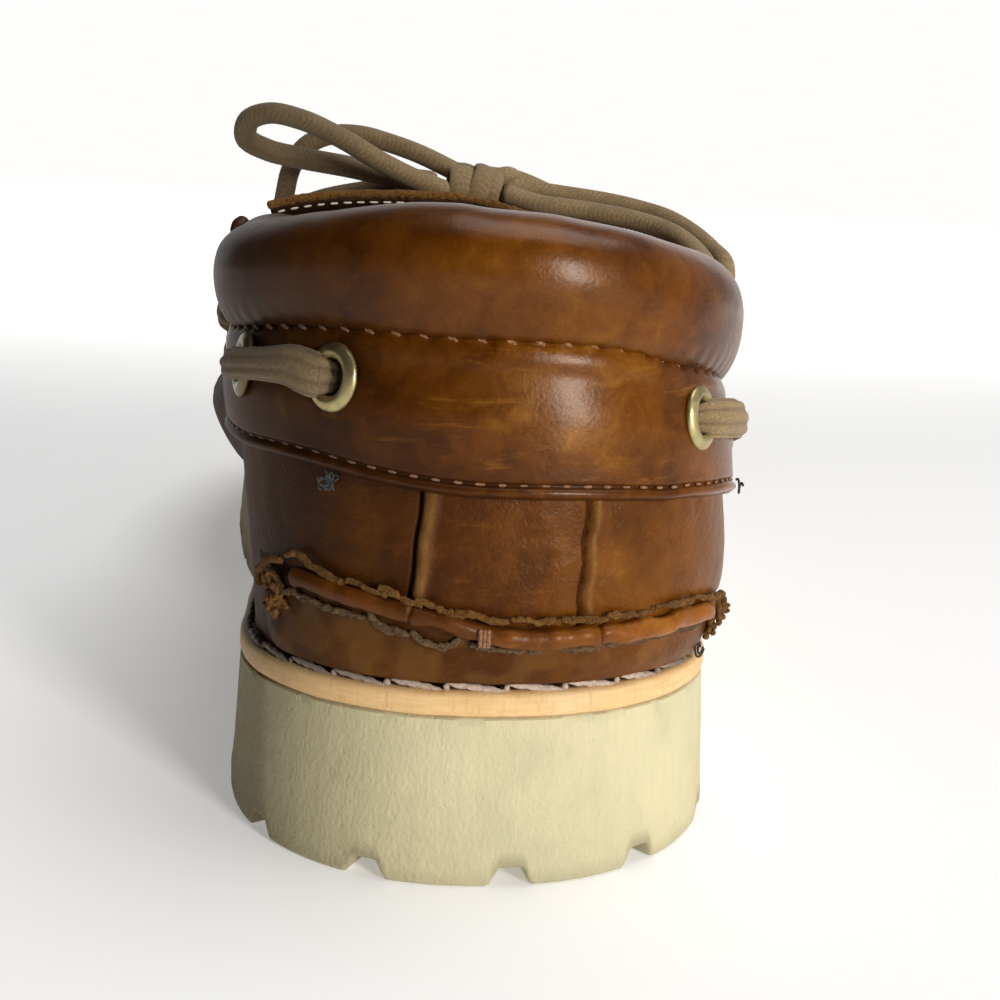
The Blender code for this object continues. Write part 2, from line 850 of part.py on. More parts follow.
def add_eyelet(name, station, side, drop):
    here, out = surface_frame(Rib(station, side), drop)
    centre = here + out * (band_face(station) + GAP + EYELET_WIRE * EYELET_FLATTEN + EYELET_CLEAR)
    bpy.ops.mesh.primitive_torus_add(
        major_segments=12,
        minor_segments=5,
        major_radius=EYELET_RING * MM,
        minor_radius=EYELET_WIRE * MM,
    )
    ring = bpy.context.object
    ring.name = name
    ring.data.name = name
    for vertex in ring.data.vertices:
        vertex.co.z *= EYELET_FLATTEN
    ring.rotation_euler = Vector(out).to_track_quat("Z", "Y").to_euler()
    ring.location = place(*centre)
    ring.data.materials.append(brass())
    ring.data.shade_smooth()
    for owner in list(ring.users_collection):
        owner.objects.unlink(ring)
    SHOE.objects.link(ring)
    return ring


def add_eyelets():
    for side in (MEDIAL, LATERAL):
        for station, place_name in SIDE_EYELETS[side]:
            add_eyelet(f"eyelet_{side_name(side)}_{place_name}", station, side, SIDE_DROP[side])
        for station, place_name in THROAT_EYELETS:
            add_eyelet(f"eyelet_{side_name(side)}_throat_{place_name}", station, side, THROAT_DROP)


def smooth_route(route, spacing):
    """Even points along one smooth curve through hand-set route points."""
    keys = [np.array(p, dtype=float) for p in route]
    fine = spline(keys, [24] * (len(keys) - 1))
    steps = [np.linalg.norm(b - a) for a, b in zip(fine, fine[1:])]
    along = np.concatenate([[0.0], np.cumsum(steps)])
    count = max(3, round(along[-1] / spacing))
    even = np.linspace(0.0, along[-1], count + 1)
    return [[float(np.interp(d, along, [p[i] for p in fine])) for i in range(3)] for d in even]


def add_lace(name, route, radius=LACE_RADIUS, spacing=None):
    """A length of lace as a round tube along its route."""
    curve = bpy.data.curves.new(name, "CURVE")
    curve.dimensions = "3D"
    curve.bevel_depth = radius * MM
    curve.bevel_resolution = 2
    curve.use_fill_caps = True
    spots = smooth_route(route, spacing or radius * 4.4)
    strand = curve.splines.new("POLY")
    strand.points.add(len(spots) - 1)
    for point, spot in zip(strand.points, spots):
        point.co = (*place(*spot), 1.0)
    curve.materials.append(braid())
    obj = bpy.data.objects.new(name, curve)
    SHOE.objects.link(obj)
    return obj


def band_point(start, end, t, side):
    station = start + (end - start) * t
    here, out = surface_frame(Rib(station, side), SIDE_DROP[side])
    return here + out * (band_face(station) + GAP + SIDE_LACE_RADIUS + 0.2)


def add_side_laces():
    """The lace that shows between each pair of side eyelets, ending just clear of both rings."""
    ring_reach = EYELET_RING + EYELET_WIRE + GAP + 0.3
    for side in (MEDIAL, LATERAL):
        spots = SIDE_EYELETS[side]
        for name, (start, _), (end, _) in (("rear", *spots[:2]), ("front", *spots[2:])):
            fine = [band_point(start, end, k / 40, side) for k in range(41)]
            clear = [
                p
                for p in fine
                if min(np.linalg.norm(p - fine[0]), np.linalg.norm(p - fine[-1])) > ring_reach
            ]
            route = [clear[round(k * (len(clear) - 1) / 4)] for k in range(5)]
            add_lace(f"lace_side_{side_name(side)}_{name}", route, SIDE_LACE_RADIUS)


LACE_RISE = GAP + EYELET_WIRE * 1.2 + 1.5 + LACE_RADIUS


def throat_anchor(station, side):
    here, out = surface_frame(Rib(station, side), THROAT_DROP)
    return here + out * (band_face(station) + LACE_RISE)


KNOT_CENTRE = (5.0, 112.5, 99.3)
BAR_CREST = 7.5
BAR_SHOULDER = 2.6


def add_lace_bars():
    """Straight runs of lace across the throat, and from the top eyelets to the knot."""
    for station, name in THROAT_EYELETS[1:]:
        left, right = throat_anchor(station, MEDIAL), throat_anchor(station, LATERAL)
        crest = (left + right) / 2 + np.array([0, 0, BAR_CREST])
        rise = np.array([0, 0, BAR_SHOULDER])
        route = [left, (left + crest) / 2 + rise, crest, (right + crest) / 2 + rise, right]
        add_lace(f"lace_bar_{name}", route)
    for side in (MEDIAL, LATERAL):
        outer = throat_anchor(THROAT_EYELETS[0][0], side)
        inner = np.array(KNOT_CENTRE) + (5.0 * side, 8.6, -3.4)
        middle = (outer + inner) / 2 + (0, 1.0, 3.4)
        add_lace(f"lace_bar_top_{side_name(side)}", [outer, middle, inner])


def add_knot():
    bpy.ops.mesh.primitive_uv_sphere_add(segments=12, ring_count=8, radius=1.0)
    knot = bpy.context.object
    knot.name = "lace_knot"
    knot.data.name = "lace_knot"
    for vertex in knot.data.vertices:
        vertex.co = [part * half * MM for part, half in zip(vertex.co, KNOT_HALF)]
    knot.location = place(*KNOT_CENTRE)
    knot.data.materials.append(braid())
    knot.data.shade_smooth()
    for owner in list(knot.users_collection):
        owner.objects.unlink(knot)
    SHOE.objects.link(knot)


# Routes of the bow's loops and ends, in millimetres on the last
LOOP_MEDIAL = [
    (-1.6, 109.4, 98.0), (-6.5, 107.8, 99.5), (-14.8, 105.8, 103.0), (-22.9, 104.4, 107.2),
    (-30.8, 104.2, 110.3), (-36.7, 105.4, 111.2), (-41.0, 108.4, 109.6), (-41.6, 111.8, 106.4),
    (-37.4, 114.8, 104.2), (-30.9, 116.3, 103.0), (-20.5, 117.0, 101.6), (-12.2, 116.5, 100.2),
    (-3.4, 115.0, 99.4),
]
LOOP_LATERAL = [
    (12.0, 109.4, 97.6), (18.3, 107.5, 95.9), (25.0, 106.0, 95.3), (31.6, 104.0, 94.6),
    (38.0, 101.0, 93.5), (43.8, 96.0, 91.6), (46.9, 91.0, 89.1), (48.8, 86.0, 85.8),
    (50.2, 81.6, 80.6), (51.2, 79.0, 75.2), (52.2, 80.2, 70.8), (53.2, 84.8, 69.0),
    (54.0, 89.2, 71.2), (54.4, 91.2, 76.4), (54.1, 90.4, 81.4), (53.7, 90.2, 85.6),
    (52.4, 95.2, 88.2), (49.7, 101.0, 91.2), (45.8, 105.5, 93.7), (39.9, 110.0, 95.5),
    (33.3, 112.6, 96.7), (26.0, 113.8, 97.5), (19.1, 114.4, 98.2), (12.6, 115.0, 98.8),
]
END_MEDIAL = [
    (1.8, 120.4, 101.8), (-5.7, 121.6, 105.0), (-12.0, 123.8, 107.0), (-18.4, 125.7, 108.4),
    (-25.0, 127.2, 108.0), (-30.2, 128.2, 105.2), (-33.0, 129.0, 100.4), (-34.2, 130.6, 95.2),
    (-35.2, 133.6, 90.2), (-36.4, 138.4, 86.2), (-37.2, 144.0, 83.4),
]
END_LATERAL = [
    (9.4, 122.6, 101.2), (16.6, 128.4, 100.6), (25.4, 131.0, 97.4), (34.0, 131.2, 92.8),
    (42.8, 131.6, 86.0), (49.0, 132.4, 75.8), (52.6, 133.6, 63.6),
]


def add_bow():
    add_knot()
    add_lace("lace_loop_medial", LOOP_MEDIAL)
    add_lace("lace_loop_lateral", LOOP_LATERAL)
    add_lace("lace_end_medial", END_MEDIAL)
    add_lace("lace_end_lateral", END_LATERAL)


def main():
    add_outsole(CUTTERS)
    add_midsole()
    add_insole()
    add_upper()
    add_tongue()
    add_collar()
    add_lace_band()
    add_heel_ridge()
    add_toe_ridge()
    add_eyelets()
    add_side_laces()
    add_lace_bars()
    add_bow()


clear_scene()
SHOE = new_collection("boat_shoe")
CUTTERS = new_collection("cutters")
main()
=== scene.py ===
"""Looks of the right boat shoe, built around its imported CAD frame.

Tables and routes are in millimetres on the last: x is positive on the outer (lateral) side,
"station" (y) is the distance forward from the back of the heel, and z is up from the floor.
"""

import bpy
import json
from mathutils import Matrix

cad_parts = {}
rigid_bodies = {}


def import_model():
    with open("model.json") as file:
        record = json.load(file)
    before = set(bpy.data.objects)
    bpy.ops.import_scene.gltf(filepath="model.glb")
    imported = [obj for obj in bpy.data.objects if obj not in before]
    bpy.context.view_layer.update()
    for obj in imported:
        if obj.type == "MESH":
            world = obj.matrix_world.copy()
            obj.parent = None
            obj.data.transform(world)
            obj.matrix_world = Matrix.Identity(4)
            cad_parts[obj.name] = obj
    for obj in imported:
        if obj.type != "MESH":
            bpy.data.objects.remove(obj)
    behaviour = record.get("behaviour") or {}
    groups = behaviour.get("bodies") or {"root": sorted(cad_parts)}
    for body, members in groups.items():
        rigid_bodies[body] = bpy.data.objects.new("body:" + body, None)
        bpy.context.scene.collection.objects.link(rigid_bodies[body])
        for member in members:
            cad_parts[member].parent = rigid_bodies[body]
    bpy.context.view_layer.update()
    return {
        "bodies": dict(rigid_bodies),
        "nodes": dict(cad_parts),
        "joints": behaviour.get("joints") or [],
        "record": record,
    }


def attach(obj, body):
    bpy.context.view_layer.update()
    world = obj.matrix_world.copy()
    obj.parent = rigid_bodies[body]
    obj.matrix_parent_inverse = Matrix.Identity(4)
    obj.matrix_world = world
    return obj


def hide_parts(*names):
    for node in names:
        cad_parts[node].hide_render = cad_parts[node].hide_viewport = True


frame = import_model()

import json
import math

import bmesh
import bpy
import numpy as np
from mathutils import Matrix, Vector

MM = 0.001
MEDIAL, LATERAL = -1, 1
UP = np.array([0, 0, 1.0])

# The heel's mount stands on the spine of the last, this far forward of the back of the heel
HEEL_REST_STATION = 50.0
REST = {m["name"]: m["pos_m"] for m in frame["record"]["mounts"]}["heel_rest"]
ORIGIN = np.array([-REST[0] / MM, HEEL_REST_STATION - REST[1] / MM, 0.0])


def place(points):
    """From millimetres on the last to metres in the frame."""
    return (np.asarray(points, dtype=float) - ORIGIN) * MM


# ---------------------------------------------------------------- camera

CAMERA_AT = (-27.0, -180.3, 100.6)
CAMERA_YAW, CAMERA_PITCH, CAMERA_TURN = math.radians(-4.07), math.radians(13.4), math.radians(11.7)


def add_camera():
    """At the photograph's place and tilt, turned about its own upright to centre the one shoe."""
    yaw, pitch, turn = CAMERA_YAW, CAMERA_PITCH, CAMERA_TURN
    level = math.cos(pitch)
    ahead = np.array([math.sin(yaw) * level, math.cos(yaw) * level, -math.sin(pitch)])
    right = np.array([math.cos(yaw), -math.sin(yaw), 0.0])
    across = right * math.cos(turn) - ahead * math.sin(turn)
    forward = ahead * math.cos(turn) + right * math.sin(turn)
    data = bpy.data.cameras.new("camera")
    data.lens, data.sensor_width, data.clip_start = 49.5, 36.0, 0.01
    camera = bpy.data.objects.new("camera", data)
    turned = np.stack([across, np.cross(right, ahead), -forward], axis=1)
    camera.matrix_world = Matrix.Translation(place(CAMERA_AT)) @ Matrix(turned.tolist()).to_4x4()
    bpy.context.scene.collection.objects.link(camera)
    bpy.context.scene.camera = camera


add_camera()

# ---------------------------------------------------------------- the last

HEEL_CENTRE, BALL_STATION, TOE_FRONT = 40.0, 208.0, 92.0
HEEL_POWER, TOE_POWER, TOE_HALF, SPINE_SWING = 2.15, {MEDIAL: 2.4, LATERAL: 2.08}, 52.45, 4.55
FEATHER_INSET, GAP, THROAT_TOP = 4.0, 0.3, 112.0
# Steps between the keys of wall lines, and a point well down them that tells which way is out
WALL_STEPS, HEEL_STEPS, MIDWALL = (10, 12, 12, 16), (14, 20, 12, 8), 20


class Column:
    """Smooth reading of one table column, without overshoot between its rows."""

    def __init__(self, xs, ys):
        self.xs, self.ys = xs, ys
        self.step = np.diff(xs)
        slope = np.diff(ys) / self.step
        tangent = np.concatenate([slope[:1], np.zeros(len(xs) - 2), slope[-1:]])
        same = slope[:-1] * slope[1:] > 0
        before, after = slope[:-1][same], slope[1:][same]
        tangent[1:-1][same] = 2 * before * after / (before + after)
        self.tangent = tangent

    def __call__(self, at):
        at = np.asarray(at, dtype=float)
        i = np.clip(np.searchsorted(self.xs, at) - 1, 0, len(self.step) - 1)
        t = np.clip((at - self.xs[i]) / self.step[i], 0, 1)
        rise = (3 * t * t - 2 * t**3) * (self.ys[i + 1] - self.ys[i])
        bend = (t**3 - 2 * t * t + t) * self.tangent[i] + (t**3 - t * t) * self.tangent[i + 1]
        return self.ys[i] + rise + bend * self.step[i]


def table(names, rows):
    data = np.array(rows, dtype=float).T
    return {name: Column(data[0], column) for name, column in zip(names.split()[1:], data[1:])}


SOLE_SIDES = table(
    "station medial lateral",
    [(40, 40, 40), (70, 39.2, 41), (100, 37.2, 43.2), (125, 38, 46.8), (150, 41, 51.2),
     (175, 45, 55.3), (208, 47.9, 57)],
)
SOLE_HEIGHTS = table(
    "station tread top",
    [(0, 0, 29.5), (20, 0, 28.7), (40, 0, 27.5), (60, 0, 26.8), (93.5, 0, 25.8), (97, 8, 25.7),
     (120, 9, 24.7), (146, 8, 23.2), (158, 0, 22.6), (180, 0, 21.8), (215, 0, 21.6),
     (236, 0, 22.4), (268, 3.4, 25.4), (300, 12.5, 30.4)],
)
WALL_NAMES = "station low_out low_up high_out high_up top_out top_up"
WALLS = {
    MEDIAL: table(
        WALL_NAMES,
        [(0, -0.8, 9, -0.4, 25, -1.6, 38), (20, -3, 9, -1.8, 25.5, -1.4, 38),
         (40, -3.4, 10, -2, 26.5, -1.2, 38.5), (70, -2.4, 10, -0.8, 26.5, 0.6, 38.5),
         (100, 0, 10, 3, 26.5, 4.6, 41), (125, 1, 10, 5.4, 25, 5, 43.5),
         (150, 2.2, 10, 7, 23, 4, 41), (175, 3.4, 9, 7.8, 20, 0, 36), (208, 3.2, 9, 6.4, 19, 0, 32),
         (250, 2.2, 9, 2.8, 18, 0, 30), (300, 1.6, 9, 1.2, 18, 0, 30)],
    ),
    LATERAL: table(
        WALL_NAMES,
        [(0, -0.8, 9, -0.4, 25, -1.6, 38), (20, -0.4, 9, -0.6, 24.5, -2.8, 35),
         (40, 0.2, 10, -0.6, 24, -3, 33.5), (70, 0.2, 10, 0, 24, -2.8, 33.5),
         (100, 0.4, 10, 0.4, 24, -1.8, 39), (125, 1.2, 10, 0.8, 23.5, -2, 43),
         (150, 1.8, 10, 1.2, 21, -2, 40.5), (175, 2.2, 10, 2, 20, 0, 34),
         (208, 2.2, 10, 2.4, 19, 0, 32), (250, 2, 9, 2.2, 18, 0, 30),
         (300, 1.6, 9, 1.2, 18, 0, 30)],
    ),
}
INSTEP = table(
    "station crest fall half medial lateral",
    [(96, 101.7, 10, 36, 36, 37), (112, 96.2, 10, 36, 37.6, 38), (125, 92, 11.5, 37, 39, 39),
     (140, 87.2, 13, 38.5, 40.4, 40.5), (155, 81.8, 13.5, 40, 42, 42.2),
     (170, 76.6, 13.2, 41.5, 43.6, 43.4), (190, 70.8, 12, 42.5, 44.4, 43.6),
     (208, 66.2, 10.5, 42.5, 44, 43), (230, 61.8, 7.8, 41, 44.6, 45.2),
     (250, 58.4, 5, 38, 50.4, 50.4), (270, 55.8, 2.2, 34, 58, 57), (285, 54.2, 1, 30, 64.8, 63.6),
     (300, 52.7, 0.5, 26, 71, 71)],
)
EDGE = table(
    "station medial_reach medial_up lateral_reach lateral_up",
    [(0, 37.2, 80, 37.2, 80), (3.3, 37.3, 80.1, 37.1, 78.4), (6.7, 37.35, 80, 36.9, 76.7),
     (12, 37.4, 79.6, 36.5, 75.1), (22, 37.6, 78.4, 35.8, 73.2), (40, 38, 76.8, 35.5, 69.6),
     (60, 38.5, 76, 37.2, 68.4), (80, 39, 77.4, 39.4, 71.6), (96, 38.4, 80.8, 38.8, 76.8),
     (106, 36, 85.2, 36.4, 83), (112, 32.5, 88.2, 32.5, 88.2), (122, 27, 87.2, 27, 87.2),
     (140, 22.5, 83.2, 22.5, 83.2), (158, 18.5, 78.2, 18.5, 78.2), (165, 14.5, 76.2, 14.5, 76.2),
     (168.6, 8, 76.2, 8, 76.2), (170, 0, 76.2, 0, 76.2), (300, 0, 53.2, 0, 53.2)],
)


def side_name(side):
    return "medial" if side == MEDIAL else "lateral"


def smoothstep(low, high, value):
    t = np.clip((np.asarray(value, dtype=float) - low) / (high - low), 0.0, 1.0)
    return t * t * (3 - 2 * t)


def bump(value, centre, half):
    """1 at the centre, falling smoothly to 0 at half a width away."""
    return 1 - smoothstep(0, half, np.abs(np.asarray(value, dtype=float) - centre))


def hill(offset, width):
    """1 at no offset, falling away as a bell."""
    return np.exp(-((offset / width) ** 2))


def beat(along, pitch):
    """1 at every pitch along, and 0 halfway between."""
    return 0.5 + 0.5 * np.cos(2 * np.pi * along / pitch)


def unit(vectors):
    return vectors / np.maximum(np.linalg.norm(vectors, axis=-1, keepdims=True), 1e-9)


def circle(count):
    """Even angles once round."""
    return 2 * np.pi * np.arange(count) / count


def run(path):
    """Distance along a path at each of its points."""
    return np.concatenate([[0], np.cumsum(np.linalg.norm(np.diff(path, axis=0), axis=1))])


def read_at(marks, along, rows):
    """Rows of numbers, one for each place along, read at marks."""
    return np.stack([np.interp(marks, along, column) for column in np.asarray(rows).T], axis=-1)


def flat_vectors(plan):
    """Plan directions with no height."""
    return np.concatenate([plan, np.zeros((len(plan), 1))], axis=1)


def heel_station(degrees):
    """Station of the rib that many degrees round from the back of the heel."""
    return HEEL_CENTRE * (1 - np.cos(np.radians(degrees)) ** (2 / HEEL_POWER))


def spine_x(at):
    return SPINE_SWING * smoothstep(HEEL_CENTRE, BALL_STATION, at)


def sole_x(at, side):
    heel_part = np.clip((HEEL_CENTRE - at) / HEEL_CENTRE, 0, 1)
    heel = side * HEEL_CENTRE * (1 - heel_part**HEEL_POWER) ** (1 / HEEL_POWER)
    power = TOE_POWER[side]
    toe_part = np.clip((at - BALL_STATION) / TOE_FRONT, 0, 1)
    toe = SPINE_SWING + side * TOE_HALF * (1 - toe_part**power) ** (1 / power)
    middle = side * SOLE_SIDES[side_name(side)](at)
    return np.where(at <= HEEL_CENTRE, heel, np.where(at >= BALL_STATION, toe, middle))


class Ribs:
    """Upright sections of one side, from the spine out through the sole's edge."""

    def __init__(self, stations, side):
        self.at, self.side = np.asarray(stations, dtype=float), side
        root_at = np.clip(self.at, HEEL_CENTRE, BALL_STATION)
        self.root = np.stack([spine_x(self.at), root_at], axis=1)
        edge = np.stack([sole_x(self.at, side), self.at], axis=1)
        self.reach = np.linalg.norm(edge - self.root, axis=1)
        self.aim = (edge - self.root) / self.reach[:, None]
        self.out = flat_vectors(self.aim)

    def point(self, reach, up):
        plan = self.root + self.aim * np.asarray(reach)[:, None]
        return np.concatenate([plan, np.broadcast_to(up, self.at.shape)[:, None]], axis=1)


def instep_height(x, y):
    off = np.abs(x - spine_x(y)) / INSTEP["half"](y)
    return INSTEP["crest"](y) - INSTEP["fall"](y) * off * off


def wall_keys(ribs):
    at, wall, name = ribs.at, WALLS[ribs.side], side_name(ribs.side)
    base = SOLE_HEIGHTS["top"](at)
    front = smoothstep(98, THROAT_TOP, at)
    keys = [ribs.point(ribs.reach - FEATHER_INSET, base + GAP)]
    for part in ("low", "high"):
        keys.append(ribs.point(ribs.reach + wall[part + "_out"](at), base + wall[part + "_up"](at)))
    front_reach = INSTEP[name](at)
    front_plan = ribs.point(front_reach, 0)
    reach = ribs.reach + wall["top_out"](at)
    reach = reach + (front_reach - reach) * front
    up = base + wall["top_up"](at)
    up = up + (instep_height(front_plan[:, 0], front_plan[:, 1]) - up) * front
    keys.append(ribs.point(reach, up))
    reach, up = EDGE[name + "_reach"](at), EDGE[name + "_up"](at)
    plan = ribs.point(reach, 0)
    over = instep_height(plan[:, 0], plan[:, 1])
    up = up + (over - up) * smoothstep(106, THROAT_TOP, at)
    keys.append(ribs.point(reach, up))
    return np.stack(keys, axis=1)


def spline(keys, per_span):
    """Smooth curves through keys, of shape (curves, keys, 3), with steps for each span."""
    spans = np.linalg.norm(np.diff(keys, axis=1), axis=2)[..., None]
    slopes = np.diff(keys, axis=1) / spans
    a, b = spans[:, :-1], spans[:, 1:]
    middle = (slopes[:, :-1] * b + slopes[:, 1:] * a) / (a + b)
    tangents = np.concatenate([slopes[:, :1], middle, slopes[:, -1:]], axis=1)
    rows = []
    for i, steps in enumerate(per_span):
        t = (np.arange(steps) / steps)[None, :, None]
        h00, h01 = 1 - 3 * t * t + 2 * t**3, 3 * t * t - 2 * t**3
        h10, h11 = t**3 - 2 * t * t + t, t**3 - t * t
        here, after = slice(i, i + 1), slice(i + 1, i + 2)
        bend = (h10 * tangents[:, here] + h11 * tangents[:, after]) * spans[:, here]
        rows.append(h00 * keys[:, here] + h01 * keys[:, after] + bend)
    return np.concatenate(rows + [keys[:, -1:]], axis=1)


def smooth_path(keys, per_span=12):
    return spline(np.asarray(keys, dtype=float)[None], [per_span] * (len(keys) - 1))[0]


def wall_lines(stations, side, steps):
    """Outer faces of the ribs, from the feather to the free edge or the spine."""
    ribs = Ribs(stations, side)
    lines = spline(wall_keys(ribs), steps)
    blend = smoothstep(100, THROAT_TOP, ribs.at)[:, None]
    shoulder = sum(steps[:3])
    t = np.linspace(0, 1, steps[3] + 1)[None, :, None]
    flat = lines[:, shoulder : shoulder + 1] * (1 - t) + lines[:, -1:] * t
    flat[..., 2] = instep_height(flat[..., 0], flat[..., 1])
    top = lines[:, shoulder:]
    lines[:, shoulder:] = top + (flat - top) * blend[..., None]
    return lines


def heel_stations(count):
    return heel_station(90 * np.arange(count + 1) / count)


def toe_stations(count):
    turn = np.radians(90) * np.arange(count + 1) / count
    return BALL_STATION + TOE_FRONT * np.sin(turn) ** (2 / 2.2)


def stations(heel_count, side_step, toe_count=0, last=BALL_STATION):
    """Stations from the back of the heel forward, closer together round the heel."""
    count = max(1, round((last - HEEL_CENTRE) / side_step))
    sides = HEEL_CENTRE + (last - HEEL_CENTRE) * np.arange(1, count + 1) / count
    found = np.concatenate([heel_stations(heel_count), sides])
    return np.concatenate([found, toe_stations(toe_count)[1:]]) if toe_count else found


def cross_gradient(lines):
    return unit(np.cross(np.gradient(lines, axis=0), np.gradient(lines, axis=1)))


class Wall:
    """The upper's outer face round the heel, read by distance below its free edge.

    Its ribs run from the lateral throat round the back to the medial throat."""

    def __init__(self, ats):
        parts = (ats[::-1], LATERAL), (ats[1:], MEDIAL)
        self.lines = np.concatenate([wall_lines(*part, WALL_STEPS) for part in parts])[:, ::-1]
        self.at = np.concatenate([ats[::-1], ats[1:]])
        self.side = np.concatenate([np.ones(len(ats)), -np.ones(len(ats) - 1)])
        self.depth = np.stack([run(line) for line in self.lines])
        normals = cross_gradient(self.lines)
        centre = np.stack([spine_x(self.at), np.maximum(self.at, HEEL_CENTRE)], axis=1)
        out = self.lines[:, MIDWALL, :2] - centre
        flip = np.sign(np.einsum("ij,ij->i", normals[:, MIDWALL, :2], out))
        self.normals = normals * flip[:, None, None]
        along = run(self.read(8.0)[0])
        self.along = along[len(ats) - 1] - along

    def read(self, distance):
        """Points and normals at a distance below the edge, one for each rib."""
        distance = np.broadcast_to(np.asarray(distance, dtype=float), self.at.shape)
        spots, normals = np.empty((2, len(self.at), 3))
        for k, far in enumerate(distance):
            spots[k] = read_at(far, self.depth[k], self.lines[k])
            normals[k] = read_at(far, self.depth[k], self.normals[k])
        return spots, unit(normals)

    def column(self, columns):
        return np.where(self.side < 0, columns["medial"](self.at), columns["lateral"](self.at))


def noise(points, size, seed=0):
    """Smooth noise from -1 to 1 whose bumps are about size across."""
    q = np.asarray(points, dtype=float) / size + 31.7 * seed + 500
    cell = np.floor(q).astype(np.int64)
    f = q - cell
    f = f * f * (3 - 2 * f)
    total = np.zeros(q.shape[:-1])
    for corner in range(8):
        step = np.array([corner & 1, corner >> 1 & 1, corner >> 2 & 1])
        c = cell + step
        key = c[..., 0] * 73856093 ^ c[..., 1] * 19349663 ^ c[..., 2] * 83492791
        key = (key ^ (key >> 13)) * 1274126177 & 0xFFFFFFFF
        value = ((key ^ (key >> 16)) & 0xFFFF) / 32767.5 - 1
        total += np.prod(np.where(step, f, 1 - f), axis=-1) * value
    return total


# ---------------------------------------------------------------- materials


class Nodes:
    """A node tree under construction, read at one kind of coordinates."""

    def __init__(self, tree, coords):
        self.tree = tree
        self.coords = self.node("TexCoord").outputs[coords]

    def node(self, kind, inputs=None, **settings):
        made = self.tree.nodes.new("ShaderNode" + kind)
        for key, value in settings.items():
            setattr(made, key, value)
        for key, value in (inputs or {}).items():
            self.feed(made.inputs[key], value)
        return made

    def feed(self, socket, value):
        if isinstance(value, bpy.types.NodeSocket):
            self.tree.links.new(value, socket)
        else:
            color = socket.type == "RGBA" and len(value) == 3
            socket.default_value = (*value, 1.0) if color else value

    def axis(self, name):
        return self.node("SeparateXYZ", {"Vector": self.coords}).outputs[name]

    def math(self, operation, a, b=0.5, clamp=False):
        inputs = {0: a, 1: b}
        return self.node("Math", inputs, operation=operation, use_clamp=clamp).outputs[0]

    def span(self, value, low, high, to_low=0.0, to_high=1.0):
        """value from low..high to to_low..to_high, clamped and smooth."""
        inputs = {"Value": value, "From Min": low, "From Max": high, "To Min": to_low,
                  "To Max": to_high}
        return self.node("MapRange", inputs, interpolation_type="SMOOTHSTEP").outputs["Result"]

    def mix(self, factor, a, b):
        inputs = {0: factor, 6: a, 7: b}
        return self.node("Mix", inputs, data_type="RGBA", blend_type="MIX").outputs[2]

    def scaled(self, x, y, z, turn=(0.0, 0.0, 0.0)):
        inputs = {"Vector": self.coords, "Scale": (x, y, z), "Rotation": turn}
        return self.node("Mapping", inputs).outputs["Vector"]

    def noise(self, size, detail=2.0, rough=0.5, coords=None, warp=0.0):
        """Noise from 0 to 1 whose bumps are about size millimetres across."""
        inputs = {"Vector": coords or self.coords, "Scale": 1 / (size * MM), "Detail": detail,
                  "Roughness": rough, "Distortion": warp}
        return self.node("TexNoise", inputs).outputs["Fac"]

    def cells(self, size, coords=None):
        """Pebbles about size millimetres across, 0 at their middles."""
        inputs = {"Vector": coords or self.coords, "Scale": 1 / (size * MM)}
        return self.node("TexVoronoi", inputs, feature="SMOOTH_F1").outputs["Distance"]


class Look(Nodes):
    """A procedural material under construction, with its colour so far."""

    def __init__(self, name, roughness=0.5, **plain):
        self.mat = bpy.data.materials.new(name)
        self.mat.use_nodes = True
        super().__init__(self.mat.node_tree, "Object")
        self.shader = self.tree.nodes["Principled BSDF"]
        for key, value in {"Roughness": roughness, **plain}.items():
            self.shader.inputs[key.replace("_", " ")].default_value = value
        self.heights = []

    def base(self, factor, a, b):
        self.color = self.mix(factor, a, b)

    def tint(self, factor, color):
        """Lays a colour over the present one, as strongly as the factor says."""
        self.color = self.mix(factor, self.color, color)

    def paint(self, name):
        return self.node("Attribute", attribute_name=name).outputs["Fac"]

    def rise(self, value, depth):
        """Adds value, from 0 to 1, to the bump, depth millimetres high."""
        self.heights.append(self.math("MULTIPLY", value, depth * MM))

    def done(self, roughness=None):
        self.feed(self.shader.inputs["Base Color"], self.color)
        if roughness is not None:
            self.feed(self.shader.inputs["Roughness"], roughness)
        if self.heights:
            total = self.heights[0]
            for value in self.heights[1:]:
                total = self.math("ADD", total, value)
            relief = self.node("Bump", {"Height": total, "Distance": 1.0, "Strength": 1.0})
            self.tree.links.new(relief.outputs["Normal"], self.shader.inputs["Normal"])
        return self.mat


def srgb(red, green, blue):
    """Linear colour from the usual 0 to 255 numbers."""
    parts = [c / 255 for c in (red, green, blue)]
    return tuple(p / 12.92 if p <= 0.04045 else ((p + 0.055) / 1.055) ** 2.4 for p in parts)


def faded(color, share):
    return tuple(share * c for c in color)


